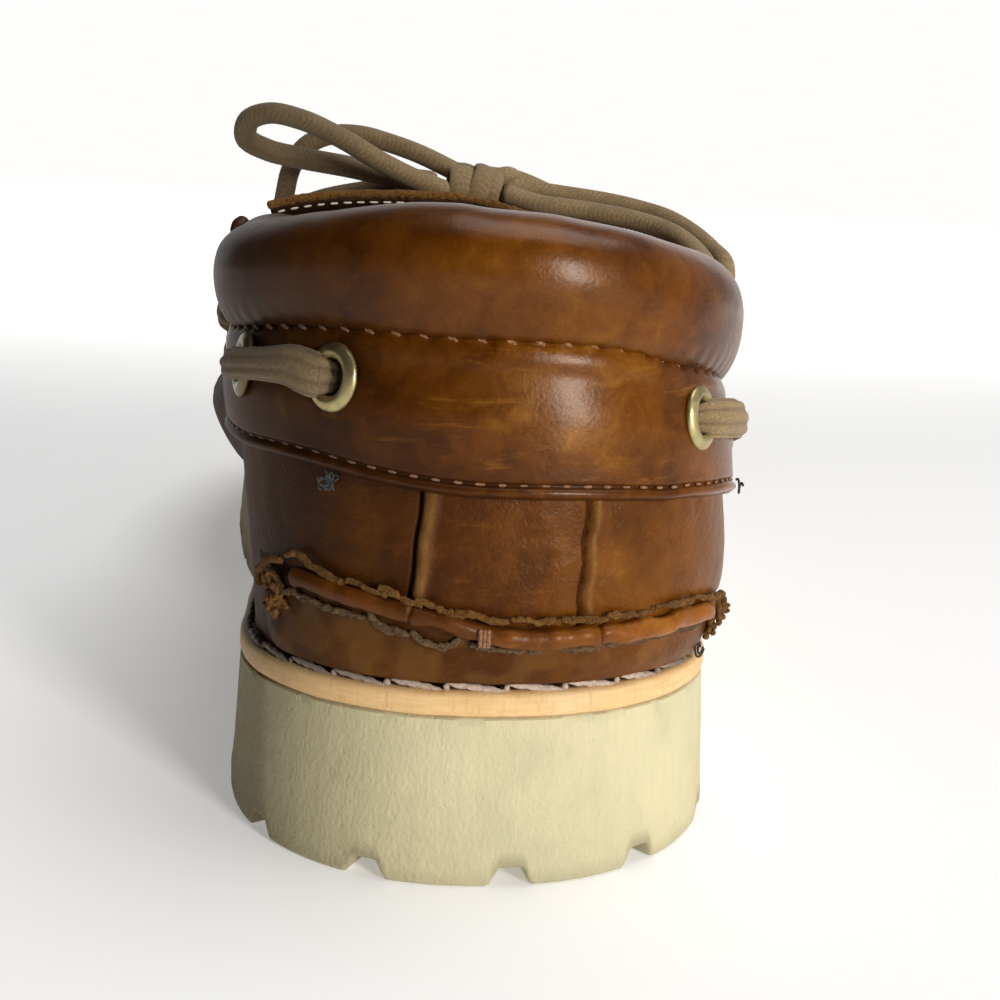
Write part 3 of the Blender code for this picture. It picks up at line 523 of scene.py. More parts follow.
def leather_look(name, tones, roughness, grain, scratch, coat=0.0):
    """Waxed pull-up leather: drifting tone, fine grain and pale rubs that lift its colour, with
    painted shade darkening its inner side.
    """
    dark, middle, light = (srgb(*tone) for tone in tones)
    look = Look(name + "_leather", roughness, Coat_Weight=coat, Coat_Roughness=0.22,
                Specular_IOR_Level=0.17, Specular_Tint=(1.0, 0.8, 0.62, 1.0))
    drift = look.noise(26, 3, 0.55, warp=0.4)
    mottle = look.noise(5, 4, 0.62, warp=0.6)
    tone = look.math("ADD", look.math("MULTIPLY", drift, 0.65), look.math("MULTIPLY", mottle, 0.35))
    look.base(look.span(tone, 0.34, 0.56), dark, middle)
    look.tint(look.span(tone, 0.52, 0.72), light)
    streaks = look.noise(2.2, 4, 0.7, look.scaled(0.18, 0.18, 1.0, (0.1, 0.06, 0.0)), 0.3)
    fine = look.noise(0.7, 3, 0.7, look.scaled(0.16, 0.16, 1.0, (0.5, -0.4, 0.3)), 0.5)
    streaks = look.math("MULTIPLY", look.span(streaks, 0.56, 0.74), scratch)
    fine = look.math("MULTIPLY", look.span(fine, 0.60, 0.76), scratch * 0.6)
    rubs = look.math("ADD", streaks, fine, True)
    look.tint(rubs, light)
    look.tint(look.span(look.noise(0.55, 2, 0.5), 0.40, 0.64, 0.16, 0.0), dark)
    # Painted shade: the base darkens towards the inner side, where little light falls, and grows
    # rougher there to dull its reflections.
    inner_side = look.span(look.axis("X"), -0.046, 0.006, 0.94, 0.0)
    inner_side_shade = look.math("MULTIPLY", inner_side, look.span(drift, 0.2, 0.7, 1.0, 0.86))
    look.tint(inner_side_shade, faded(dark, 0.14))
    look.tint(look.paint("shade"), faded(dark, 0.12))
    look.tint(look.paint("wear"), srgb(156, 112, 58))
    look.rise(look.cells(0.55), 0.05 * grain)
    look.rise(look.noise(0.35, 3, 0.6), 0.05 * grain)
    look.rise(look.noise(2.4, 3, 0.6, warp=0.4), 0.12 * grain)
    look.rise(rubs, 0.02)
    rough = look.math("ADD", look.math("MULTIPLY", mottle, 0.24), roughness - 0.12)
    for value, more in ((rubs, 0.12), (inner_side_shade, 0.38)):
        rough = look.math("ADD", rough, look.math("MULTIPLY", value, more))
    return look.done(look.math("ADD", rough, look.math("MULTIPLY", look.paint("shade"), 0.3), True))


def suede_look(name, dark, light):
    """The raw, fibrous cut edge of leather."""
    dark = srgb(*dark)
    look = Look(name, 0.95, Specular_IOR_Level=0.15, Sheen_Weight=0.04, Sheen_Roughness=0.6)
    fibre = look.noise(0.5, 5, 0.75, warp=0.8)
    look.base(look.span(fibre, 0.32, 0.68), dark, srgb(*light))
    look.tint(look.span(look.noise(5, 2), 0.35, 0.7, 0.0, 0.45), dark)
    look.tint(look.paint("shade"), faded(dark, 0.2))
    look.rise(fibre, 0.3)
    return look.done()


def thread_look(name, dark, light, twist=0.35, shade_past_sides=None):
    """Spun thread; the last argument is how strongly painted shade darkens it past the heel's inner
    and outer sides.
    """
    dark = srgb(*dark)
    look = Look(name, 0.7, Specular_IOR_Level=0.4, Sheen_Weight=0.2)
    fibre = look.noise(twist, 4, 0.65, warp=0.5)
    look.base(look.span(fibre, 0.3, 0.7), dark, srgb(*light))
    if shade_past_sides:
        # Painted shade on thread that runs round into the dark sides of the heel
        left = look.span(look.axis("X"), -0.034, -0.008, shade_past_sides[0], 0.0)
        right = look.span(look.axis("X"), 0.016, 0.026, 0.0, shade_past_sides[1])
        look.tint(look.math("ADD", left, right, True), faded(dark, 0.4))
    look.tint(look.paint("shade"), faded(dark, 0.25))
    look.rise(fibre, 0.1)
    return look.done()


def rubber_look():
    """Pale crepe-like rubber with cool blotches, dirt near the floor, and painted shade on its
    inner side, darkest on its outermost inner facet.
    """
    look = Look("sole_rubber", 0.8, Specular_IOR_Level=0.3)
    cool = srgb(188, 183, 147)
    streak = look.noise(1.2, 4, 0.7, look.scaled(1, 1, 0.12), 0.4)
    blotch = look.noise(11, 4, 0.6, warp=0.5)
    drift = look.span(look.noise(30, 2, 0.5), 0.35, 0.65)
    look.base(drift, srgb(207, 198, 160), srgb(215, 204, 164))
    look.tint(look.span(streak, 0.42, 0.75, 0.0, 0.22), cool)
    look.tint(look.span(blotch, 0.45, 0.75, 0.0, 0.5), cool)
    # Painted shade: the inner side, out of the light, and its outermost strip darker still
    look.tint(look.span(look.axis("X"), -0.048, -0.008, 0.62, 0.0), srgb(126, 116, 84))
    look.tint(look.span(look.axis("X"), -0.0375, -0.0355, 0.4, 0.0), srgb(112, 98, 64))
    low = look.span(look.axis("Z"), 0.0, 0.012, 0.38, 0.0)
    look.tint(look.math("MULTIPLY", low, look.noise(6, 4, 0.7)), srgb(150, 145, 118))
    specks = look.span(look.noise(1.1, 3, 0.6), 0.70, 0.76)
    look.tint(look.math("MULTIPLY", specks, 0.5), srgb(120, 118, 88))
    look.tint(look.math("MULTIPLY", look.paint("shade"), 0.8), srgb(118, 110, 84))
    look.rise(look.cells(0.7, look.scaled(1, 1, 0.6)), 0.10)
    look.rise(streak, 0.05)
    look.rise(look.noise(0.45, 3, 0.6), 0.14)
    return look.done(look.span(look.noise(3, 3), 0.3, 0.7, 0.68, 0.86))


def welt_look():
    """Natural sole leather, with darker cuts across its edge and painted shade on its inner side.
    """
    look = Look("midsole_leather", 0.62, Specular_IOR_Level=0.4)
    band = look.noise(1.0, 3, 0.6, look.scaled(0.2, 0.2, 1.2), 0.2)
    cuts = look.noise(0.6, 3, 0.6, look.scaled(1, 1, 0.12), 0.1)
    look.base(look.span(band, 0.30, 0.72), srgb(226, 184, 126), srgb(236, 198, 142))
    look.tint(look.span(look.noise(9, 3), 0.45, 0.75, 0.0, 0.5), srgb(238, 202, 156))
    look.tint(look.span(cuts, 0.5, 0.72, 0.0, 0.4), srgb(196, 148, 96))
    # Painted shade on the inner side, out of the light
    look.tint(look.span(look.axis("X"), -0.047, -0.02, 0.5, 0.0), srgb(132, 100, 58))
    look.tint(look.math("MULTIPLY", look.paint("shade"), 0.85), srgb(98, 62, 40))
    look.rise(band, 0.10)
    look.rise(look.noise(0.4, 3, 0.6), 0.06)
    return look.done()


def braid_look():
    """Waxed lace; the plait's own relief is in the mesh, with its valleys painted as shade, and
    painted shade also darkens laces towards the inner side.
    """
    look = Look("lace_braid", 0.72, Specular_IOR_Level=0.3, Sheen_Weight=0.12, Sheen_Roughness=0.5)
    fibre = look.noise(0.3, 4, 0.7, warp=0.4)
    look.base(look.span(fibre, 0.3, 0.7), srgb(116, 92, 60), srgb(164, 140, 102))
    look.tint(look.span(look.noise(7, 2), 0.4, 0.7, 0.0, 0.4), srgb(110, 88, 58))
    # Painted shade on laces towards the inner side, out of the light
    look.tint(look.span(look.axis("X"), -0.046, 0.012, 0.62, 0.0), srgb(68, 54, 34))
    look.tint(look.paint("shade"), srgb(58, 44, 26))
    look.rise(fibre, 0.06)
    return look.done()


def brass_look():
    look = Look("aged_brass", 0.34, Metallic=0.85)
    spot = look.noise(3.2, 2, 0.5)
    look.base(look.span(spot, 0.3, 0.75), srgb(156, 140, 94), srgb(196, 182, 132))
    look.tint(look.paint("shade"), srgb(52, 44, 26))
    look.rise(look.noise(0.7, 3), 0.03)
    return look.done(look.span(spot, 0.3, 0.7, 0.26, 0.44))


def floor_look():
    """Pale and glowing: faintly near the shoe, and growing as bright as the background far behind
    it.
    """
    look = Look("floor", 0.9, Specular_IOR_Level=0.1)
    look.feed(look.shader.inputs["Emission Color"], (1.0, 0.99, 0.98))
    glow = look.span(look.axis("Y"), 0.15, 0.9, 0.3, 1.0)
    look.feed(look.shader.inputs["Emission Strength"], glow)
    look.base(look.noise(300, 2), (0.84, 0.84, 0.84), (0.86, 0.86, 0.86))
    return look.done()


def aglet_look():
    look = Look("aglet_sleeve", 0.4, Specular_IOR_Level=0.5)
    look.base(look.noise(2.5, 3), srgb(150, 140, 100), srgb(196, 186, 150))
    look.rise(look.noise(0.6, 2), 0.04)
    return look.done()


BROWN_DARK, BROWN = (66, 31, 3), (106, 58, 6)
# Dark, middle and light tones, roughness, grain, scratches and coat
LEATHERS = {
    "collar": ((BROWN_DARK, BROWN, (139, 87, 18)), 0.28, 0.5, 0.2, 0.14),
    "band": ((BROWN_DARK, BROWN, (152, 98, 21)), 0.27, 0.5, 0.45, 0.1),
    "panel": (((74, 36, 4), (110, 62, 10), (142, 88, 24)), 0.33, 1.4, 0.4),
    "ridge": (((86, 44, 8), (134, 76, 19), (172, 112, 44)), 0.36, 0.9, 0.4, 0.1),
    "lining": (((58, 34, 20), (92, 60, 38), (112, 78, 50)), 0.62, 1.0, 0.2),
    "sock": (((118, 78, 44), (160, 112, 68), (184, 136, 88)), 0.6, 0.9, 0.2),
}
LOOKS = {
    **{name: leather_look(name, *values) for name, values in LEATHERS.items()},
    "suede": suede_look("raw_suede", (72, 44, 14), (140, 98, 44)),
    "fray": suede_look("frayed_suede", (66, 46, 26), (128, 102, 70)),
    "seam": thread_look("seam_thread", (100, 60, 34), (168, 118, 80), 0.35, (0.7, 0.0)),
    "pale": thread_look("welt_thread", (168, 146, 130), (208, 188, 168), 0.5, (0.9, 0.85)),
    "white": thread_look("tongue_thread", (196, 184, 168), (240, 232, 222)),
    "black": thread_look("loose_thread", (20, 18, 18), (44, 40, 40)),
    "lint": thread_look("lint", (16, 22, 24), (58, 68, 70)),
    "rubber": rubber_look(),
    "welt": welt_look(),
    "braid": braid_look(),
    "brass": brass_look(),
    "floor": floor_look(),
    "aglet": aglet_look(),
}
SLOTS = {
    **dict.fromkeys(("panel", "ridge", "suede", "fray", "seam"), "leather"),
    **dict.fromkeys(("collar", "band"), "band_leather"),
    **dict.fromkeys(("lining", "sock"), "lining"),
    **dict.fromkeys(("braid", "pale", "white", "black", "lint", "aglet"), "braid"),
    "rubber": "rubber", "welt": "welt_leather", "brass": "brass",
}

# ---------------------------------------------------------------- mesh helpers


def add_piece(name, points, faces, look, replaces=(), paint=None, angle=180):
    """A joined mesh from points in millimetres on the last, riding on the one body."""
    mesh = bpy.data.meshes.new(name)
    flat, size = np.asarray(faces, dtype=np.int32).ravel(), faces.shape[1]
    mesh.vertices.add(len(points))
    mesh.vertices.foreach_set("co", place(points).astype(np.float32).ravel())
    mesh.loops.add(len(flat))
    mesh.loops.foreach_set("vertex_index", flat)
    mesh.polygons.add(len(faces))
    mesh.polygons.foreach_set("loop_start", np.arange(0, len(flat), size, dtype=np.int32))
    mesh.update(calc_edges=True)
    for key in ("shade", "wear"):
        layer = mesh.attributes.new(key, "FLOAT", "POINT")
        if key in (paint or {}):
            values = np.clip(np.ravel(paint[key]), 0, 1).astype(np.float32)
            layer.data.foreach_set("value", values)
    weld(mesh)
    mesh.shade_smooth()
    if angle < 180:
        mesh.set_sharp_from_angle(angle=math.radians(angle))
    mesh.materials.append(LOOKS[look])
    obj = bpy.data.objects.new(name, mesh)
    bpy.context.scene.collection.objects.link(obj)
    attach(obj, "root")
    if replaces:
        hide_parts(*replaces)
    return obj


def grid_faces(rows, columns, wrap_rows=False, wrap_columns=False):
    r = np.arange(rows if wrap_rows else rows - 1)[:, None]
    c = np.arange(columns if wrap_columns else columns - 1)[None, :]
    after, beside = (r + 1) % rows, (c + 1) % columns
    corners = [r * columns + c, after * columns + c, after * columns + beside, r * columns + beside]
    faces = np.stack([np.broadcast_to(k, (r.size, c.size)) for k in corners], axis=-1)
    return faces.reshape(-1, 4)


def looks_out(points, faces, out):
    """Faces turned so that on the whole they face along the out vector at their first point."""
    a, b, d = (points[faces[:, k]] for k in (0, 1, 3))
    total = np.einsum("ij,ij->", np.cross(b - a, d - a), out[faces[:, 0]])
    return faces if total > 0 else faces[:, ::-1]


class Batch:
    """Many small things gathered into one mesh."""

    def __init__(self):
        self.points, self.faces, self.shade, self.count = [], [], [], 0

    def add(self, points, faces, shade=None):
        self.points.append(points)
        self.faces.append(np.asarray(faces) + self.count)
        self.shade.append(np.zeros(len(points)) if shade is None else shade)
        self.count += len(points)

    def tube(self, *shape):
        self.add(*tube(*shape))

    def build(self, name, look, replaces=()):
        points, faces, shade = (np.concatenate(k) for k in (self.points, self.faces, self.shade))
        return add_piece(name, points, faces, look, replaces, {"shade": shade})


def frames_along(path, up=None):
    """Two cross directions along a path, without sudden turns."""
    tangents = unit(np.gradient(path, axis=0))
    side = np.asarray((0, 0, 1) if up is None else up, dtype=float)
    if abs(tangents[0] @ unit(side)) > 0.95:
        side = np.array([1.0, 0.0, 0.0])
    firsts = []
    for tangent in tangents:
        side = side - tangent * (side @ tangent)
        side = side / np.linalg.norm(side)
        firsts.append(side)
    return np.array(firsts), np.cross(tangents, firsts)


def tube(path, radii, sides=10, up=None, flat=1.0, ripple=None):
    """A capped round or oval tube; radii may vary along it, and ripple(k, angle) adds to them."""
    path = np.asarray(path, dtype=float)
    first, second = frames_along(path, up)
    radii = np.broadcast_to(np.asarray(radii, dtype=float), (len(path),))
    turn = circle(sides)
    reach = np.broadcast_to(radii[:, None], (len(path), sides))
    if ripple is not None:
        reach = reach + ripple(np.arange(len(path))[:, None], turn[None, :])
    tall, wide = (np.cos(turn) * reach)[..., None] * flat, (np.sin(turn) * reach)[..., None]
    rings = path[:, None] + first[:, None] * tall + second[:, None] * wide
    rows = list(rings)
    for k, inner in ((0, 1), (-1, -2)):
        centre = path[k] + unit(path[k] - path[inner]) * radii[k] * 0.55
        middle = (rings[k] - path[k]) * 0.72 + path[k] + (centre - path[k]) * 0.75
        end = [np.broadcast_to(centre, middle.shape), middle]
        rows = [*rows, *end[::-1]] if k else [*end, *rows]
    return np.concatenate(rows), grid_faces(len(rows), sides, wrap_columns=True)[:, ::-1]


def even_path(path, spacing):
    along = run(path)
    count = max(2, int(round(along[-1] / spacing)))
    return read_at(np.linspace(0, along[-1], count + 1), along, path)


def stitch_shape(length, radius, sides=7, rings=9, twist=0.0):
    """One thread stitch along x, plump in the middle, optionally two strands twisted."""
    t, turn = np.linspace(-1, 1, rings)[:, None], circle(sides)
    ridge = 1 + (0.22 * np.cos(2 * (turn - twist * t)) if twist else 0)
    reach = radius * np.sqrt(np.clip(1 - np.abs(t) ** 2.6, 0, 1)) * ridge * np.ones(sides)
    spots = t * length / 2 + 0 * reach, np.cos(turn) * reach, np.sin(turn) * reach
    faces = grid_faces(rings, sides, wrap_columns=True)[:, ::-1]
    return np.stack(spots, axis=-1).reshape(-1, 3), faces


def scatter(batch, shape, spots, along, out, jitter, seed):
    """Copies of one shape at spots, its x along and its z outward."""
    points, faces = shape
    rng = np.random.default_rng(seed)
    along = unit(np.asarray(along))
    across = unit(np.cross(unit(np.asarray(out)), along))
    frames = np.stack([along, across, np.cross(along, across)], axis=1)
    for spot, axes in zip(spots, frames):
        batch.add(spot + (points * (1 + jitter * rng.uniform(-1, 1, 3))) @ axes, faces)


def pick(marks, coordinate, *fields):
    """Fields, one row per rib, read at marks along the ribs' coordinate."""
    order = np.argsort(coordinate)
    return [read_at(marks, coordinate[order], field[order]) for field in fields]


def weld(mesh):
    """Joins points that lie together, such as where ribs of both sides meet on the spine."""
    body = bmesh.new()
    body.from_mesh(mesh)
    bmesh.ops.remove_doubles(body, verts=body.verts, dist=1e-6)
    bmesh.ops.dissolve_degenerate(body, edges=body.edges, dist=1e-7)
    body.to_mesh(mesh)
    body.free()


def hoop(centre, first, second, turn, reach):
    """Points at angles and distances round a centre, from the first direction to the second."""
    ahead, aside = np.cos(turn) * reach, np.sin(turn) * reach
    return centre + first * ahead[:, None] + second * aside[:, None]


def closed_rings(rings):
    """Points and outward faces of a tube made of these rings."""
    points = rings.reshape(-1, 3)
    centres = np.repeat(rings.mean(axis=1), rings.shape[1], axis=0)
    faces = grid_faces(*rings.shape[:2], wrap_columns=True)
    return points, looks_out(points, faces, points - centres)


def skin(outer, inner, out, wrap=False, rim=None):
    """One closed skin from two matching grids, the outer one facing along out.

    rim tells which ribs have a free upper edge; at the others the two sides meet."""
    rows, columns = outer.shape[:2]
    under = rows * columns
    front = grid_faces(rows, columns, wrap_rows=wrap)
    faces = [front, front[:, ::-1] + under]
    r = np.arange(rows if wrap else rows - 1)
    after = (r + 1) % rows
    free = np.ones(len(r), bool) if rim is None else rim[r] | rim[after]
    for kept, column, turn in ((np.ones(len(r), bool), 0, 1), (free, columns - 1, -1)):
        a, b = r[kept] * columns + column, after[kept] * columns + column
        faces.append(np.stack([b, a, a + under, b + under], axis=1)[:, ::turn])
    if not wrap:
        for row, turn in ((0, 1), (rows - 1, -1)):
            a = row * columns + np.arange(columns - 1)
            faces.append(np.stack([a, a + 1, a + 1 + under, a + under], axis=1)[:, ::turn])
    points = np.concatenate([outer.reshape(-1, 3), inner.reshape(-1, 3)])
    faces = np.concatenate(faces)
    right = np.array_equal(looks_out(points, front, out.reshape(-1, 3)), front)
    return points, faces if right else faces[:, ::-1]


def outer_paint(**fields):
    """Paint for the outer face of a skin, with none on its inner face."""
    return {key: np.append(field, 0 * field) for key, field in fields.items()}


# ---------------------------------------------------------------- places on the upper

SIDE_EYELETS = {
    MEDIAL: ((6.6, "rear_a"), (22.5, "rear_b"), (80.0, "front_a"), (100.0, "front_b")),
    LATERAL: ((10.7, "rear_a"), (31.0, "rear_b"), (80.0, "front_a"), (100.0, "front_b")),
}
THROAT_EYELETS = ((121.0, "top"), (137.0, "middle"), (152.0, "bottom"))
SIDE_DROP, THROAT_DROP = {MEDIAL: 6.2, LATERAL: 7.7}, 8.5
BAND_THICK, LACE_RADIUS = 1.6, 2.3
KNOT_CENTRE = np.array([5.0, 112.5, 99.3])
BAND = table(
    "station medial lateral lift",
    [(0, 21.8, 21.8, 0.6), (4, 20.6, 20.8, 0.6), (10, 19.1, 19.3, 0.6), (20, 18, 18.9, 0.6),
     (40, 16.4, 19.4, 0.6), (80, 17, 19, 0.7), (98, 18, 19, 1.3), (112, 19, 19, 1.7),
     (134, 18.4, 18.4, 1.3), (160, 17, 17, 0.8)],
)
HEEL_RIDGE = table(
    "station height",
    [(-58, 43.6), (-45, 44.2), (-18, 42.2), (5, 39.2), (20, 39), (40, 39.5), (57, 38.6)],
)
COLLAR = table(
    "station medial lateral",
    [(0, 15.9, 15.8), (1, 16.5, 15.5), (6, 15.9, 16.2), (12, 15.3, 16.9), (24, 15.1, 17.7),
     (40, 15.5, 17.1), (60, 15.2, 16.5), (84, 13.7, 15.3), (97, 9.5, 9.9)],
)


def band_face(station):
    """Height of the lace band's outer face over the upper."""
    return float(BAND["lift"](station)) + BAND_THICK


def surface_frame(station, side, distance):
    """A place on the upper below the free edge, with outward and along directions."""
    ats = np.array([station - 2.0, station, station + 2.0])
    spots, downs = [], []
    for line in wall_lines(ats, side, WALL_STEPS)[:, ::-1]:
        here, below = read_at([distance, distance + 0.8], run(line), line)
        spots.append(here)
        downs.append(below - here)
    along = spots[2] - spots[0]
    out = unit(np.cross(along, downs[1]))
    if out[:2] @ Ribs([station], side).aim[0] < 0:
        out = -out
    return spots[1], out, unit(along)


def heel_places(angles, heights):
    """Places on the heel's wall at angles round from the back, and their outward directions."""
    angles, heights = np.asarray(angles, float), np.asarray(heights, float)
    at = heel_station(np.abs(angles))
    spots, outs = np.zeros((2, len(at), 3))
    for side in (MEDIAL, LATERAL):
        mine = np.nonzero((angles > 0) == (side == LATERAL))[0]
        if len(mine):
            for k, line in zip(mine, wall_lines(at[mine], side, HEEL_STEPS)):
                spots[k] = read_at(heights[k], line[:, 2], line)
            outs[mine] = Ribs(at[mine], side).out
    return spots, outs


def heel_spot(angle, height, proud):
    """One place that stands proud of the heel's wall, and its outward direction."""
    spots, outs = heel_places([angle], [height])
    return spots[0] + outs[0] * proud, outs[0]


# ---------------------------------------------------------------- laces

LOOP_MEDIAL = [
    (-1.6, 109.4, 98.0), (-6.5, 107.8, 99.5), (-14.8, 105.8, 103.0), (-22.9, 104.4, 107.2),
    (-30.8, 104.2, 110.3), (-36.7, 105.4, 111.2), (-41.0, 108.4, 109.6), (-41.6, 111.8, 106.4),
    (-37.4, 114.8, 104.2), (-30.9, 116.3, 103.0), (-20.5, 117.0, 101.6), (-12.2, 116.5, 100.2),
    (-3.4, 115.0, 99.4),
]
LOOP_LATERAL = [
    (12.0, 109.4, 97.6), (18.3, 107.5, 95.9), (25.0, 106.0, 95.3), (31.6, 104.0, 94.6),
    (38.0, 101.0, 93.5), (43.8, 96.0, 91.6), (46.9, 91.0, 89.1), (48.8, 86.0, 85.8),
    (50.2, 81.6, 80.6), (51.2, 79.0, 75.2), (52.2, 80.2, 70.8), (53.2, 84.8, 69.0),
    (54.0, 89.2, 71.2), (54.4, 91.2, 76.4), (54.1, 90.4, 81.4), (53.7, 90.2, 85.6),
    (52.4, 95.2, 88.2), (49.7, 101.0, 91.2), (45.8, 105.5, 93.7), (39.9, 110.0, 95.5),
    (33.3, 112.6, 96.7), (26.0, 113.8, 97.5), (19.1, 114.4, 98.2), (12.6, 115.0, 98.8),
]
END_MEDIAL = [
    (1.8, 120.4, 101.8), (-5.7, 121.6, 105.0), (-12.0, 123.8, 107.0), (-18.4, 125.7, 108.4),
    (-25.0, 127.2, 108.0), (-30.2, 128.2, 105.2), (-33.0, 129.0, 100.4), (-34.2, 130.6, 95.2),
    (-35.2, 133.6, 90.2), (-36.4, 138.4, 86.2), (-37.2, 144.0, 83.4),
]
END_LATERAL = [
    (9.4, 122.6, 101.2), (16.6, 128.4, 100.6), (25.4, 131.0, 97.4), (34.0, 131.2, 92.8),
    (42.8, 131.6, 86.0), (49.0, 132.4, 75.8), (52.6, 133.6, 63.6),
]
BRAID_PITCH, BRAID_STEP, BRAID_SIDES = 1.05, 0.25, 32


def braid_pattern(along, turn):
    """The plait's V's, from -1 to 1, and its middle line, on both flats of an oval lace."""
    across = np.cos(turn)
    return np.cos(2 * np.pi * (along / BRAID_PITCH + 2.0 * np.abs(across))), hill(across, 0.13)


def braid_height(along, turn):
    strand, column = braid_pattern(along, turn)
    return 0.02 * strand - 0.05 * column


def braid_shade(along, turn):
    strand, column = braid_pattern(along, turn)
    return 0.3 * np.clip(-strand, 0, 1) ** 1.3 + 0.2 * column


def closed_rows(rows):
    """Paint for a tube's rings and its two rounded ends."""
    return np.concatenate([rows[:1], rows[:1], rows, rows[-1:], rows[-1:]])


def lace_skin(path, half, up, strength=1.0):
    """An oval plaited lace along an even path; its first half-width lies along up."""
    along = np.arange(len(path)) * BRAID_STEP
    shade = closed_rows(braid_shade(along[:, None], circle(BRAID_SIDES) + np.pi / 2))
    points, faces = tube(
        path, half[1], BRAID_SIDES, up, half[0] / half[1],
        lambda k, turn: strength * braid_height(along[k], turn + np.pi / 2),
    )
    return points, faces, shade.ravel()


def add_lace(name, route, replaces, up):
    path = even_path(smooth_path(route), BRAID_STEP)
    points, faces, shade = lace_skin(path, (2.05, LACE_RADIUS), up)
    return add_piece(name, points, faces, "braid", replaces, {"shade": shade}), path


AGLET_LENGTH = 9.0


def add_aglet(name, path):
    """A clear-coated sleeve pressed round the last of a lace."""
    spots = path[-int(AGLET_LENGTH / BRAID_STEP) :][::5]
    spots = np.concatenate([spots, [path[-1] + unit(path[-1] - path[-4]) * 0.5]])
    radii = np.full(len(spots), 2.2)
    radii[0], radii[-1] = 2.1, 1.9
    return add_piece(name, *tube(spots, radii, 20), "aglet")


def add_bow():
    """Two loops and two ends, each leaving the knot."""
    for name, route, far_end in (
        ("lace_loop_medial", LOOP_MEDIAL, "object"),
        ("lace_loop_lateral", LOOP_LATERAL, "object"),
        ("lace_end_medial", END_MEDIAL, "fitting"),
        ("lace_end_lateral", END_LATERAL, "fitting"),
    ):
        piece, path = add_lace(name + "_cord", route, (name,), UP)
        tips = [add_aglet(name + "_aglet", path)] if far_end == "fitting" else []


add_bow()


# Strands that leave the knot's wrap and meet the bow's two ends
KNOT_TAILS = (
    [(5.6, 112.0, 98.4), (8.6, 112.4, 100.4), (12.0, 114.4, 101.4), (13.6, 118.0, 101.0),
     (12.2, 121.4, 100.8), (9.4, 122.6, 100.9)],
    [(5.0, 114.0, 100.4), (4.6, 117.4, 101.4), (3.2, 119.6, 101.8), (1.8, 120.4, 101.8)],
)
# Flat turns of the wrap: place across, lean, depth, height and half width
KNOT_TURNS = ((-2.6, 0.3, 3.8, 3.7, 2.9), (0.8, 1.7, 4.2, 4.0, 2.3), (3.8, 0.8, 3.3, 3.2, 1.8))


def add_knot():
    """The wrap of lace round the middle of the bow, with the strand that leaves it."""
    batch, turn = Batch(), circle(80)
    for across, lean, deep, high, half in KNOT_TURNS:
        ring = [across + lean * np.sin(turn), deep * np.cos(turn), high * np.sin(turn) - 0.9]
        ring = KNOT_CENTRE + np.stack(ring, axis=1)
        path = even_path(np.concatenate([ring, ring[:2]]), BRAID_STEP)
        batch.add(*lace_skin(path, (half, 1.0), (1, 0, 0), 0.7))
    for route in KNOT_TAILS:
        batch.add(*lace_skin(even_path(smooth_path(route), BRAID_STEP), (1.9, 2.2), UP))
    batch.build("lace_knot_wrap", "braid", ("lace_knot",))


add_knot()


# Rings that the lace pulls askew: how far they slide forward and down, and their slope
EYELET_PULL = {
    (6.6, MEDIAL): (0.6, 1.0, 0.26),
    (22.5, MEDIAL): (0.0, 0.0, 0.22),
    (10.7, LATERAL): (0.0, 0.0, 0.08),
}


def eyelet_place(station, side, drop):
    """Centre on the band's outer face, with the outward and along directions."""
    ahead, down, slope = EYELET_PULL.get((station, side), (0.0, 0.0, 0.0))
    here, out, along = surface_frame(station + ahead, side, drop + down)
    tilted = unit(out + along * slope)
    centre = here + out * (band_face(station) + 0.05 + 2.2 * slope)
    return centre, tilted, unit(along - tilted * (along @ tilted))


def every_eyelet():
    for side in (MEDIAL, LATERAL):
        for station, spot in SIDE_EYELETS[side]:
            yield f"eyelet_{side_name(side)}_{spot}", (station, side, SIDE_DROP[side])
        for station, spot in THROAT_EYELETS:
            yield f"eyelet_{side_name(side)}_throat_{spot}", (station, side, THROAT_DROP)


RING_SECTION = [(2.45, -1.6), (2.5, 0.1), (2.75, 0.62), (3.3, 0.92), (4.0, 0.86), (4.6, 0.5),
                (4.86, 0.02), (4.7, -0.3), (3.4, -0.4), (3.0, -1.7)]


# Painted shade over the whole of the front ring that lies in shadow behind the heel's inner strap
SHADED_RINGS = {"eyelet_medial_rear_b": 0.7}
RING_SIDES, RING_MIDDLE = 48, 3.6


def add_eyelets():
    """Washer-like rings pressed into the band, each with a black disc inside as painted shade in
    its hole.
    """
    hole_shade, turn, section = Batch(), circle(RING_SIDES), smooth_ring(RING_SECTION, 30)
    for name, spot in every_eyelet():
        centre, out, along = eyelet_place(*spot)
        across = np.cross(out, along)
        rings = [hoop(centre + out * up, along, across, turn, far) for far, up in section]
        points = np.concatenate(rings)
        middles = np.tile(hoop(centre, along, across, turn, RING_MIDDLE), (len(section), 1))
        faces = grid_faces(len(section), RING_SIDES, wrap_rows=True, wrap_columns=True)
        faces = looks_out(points, faces, points - middles)
        # Painted shade inside the hole and under the ring, and over the whole of any ring listed as
        # lying in shadow
        ring_shade = SHADED_RINGS.get(name, 0.0)
        shade = [0.75 if far < 2.6 or up < -0.2 else ring_shade for far, up in section]
        paint = {"shade": np.repeat(shade, RING_SIDES)}
        add_piece(name + "_ring", points, faces, "brass", (name,), paint)
        # A black disc down in the hole, standing in for the shade inside it
        disc = [hoop(centre - out * 1.15, along, across, turn, far) for far in (0.0, 1.4, 2.7)]
        under = [ring - out * 0.5 for ring in disc[::-1]]
        hole_shade.add(np.concatenate(disc + under), grid_faces(6, RING_SIDES, wrap_columns=True))
    hole_shade.build("eyelet_hole_shade", "black")


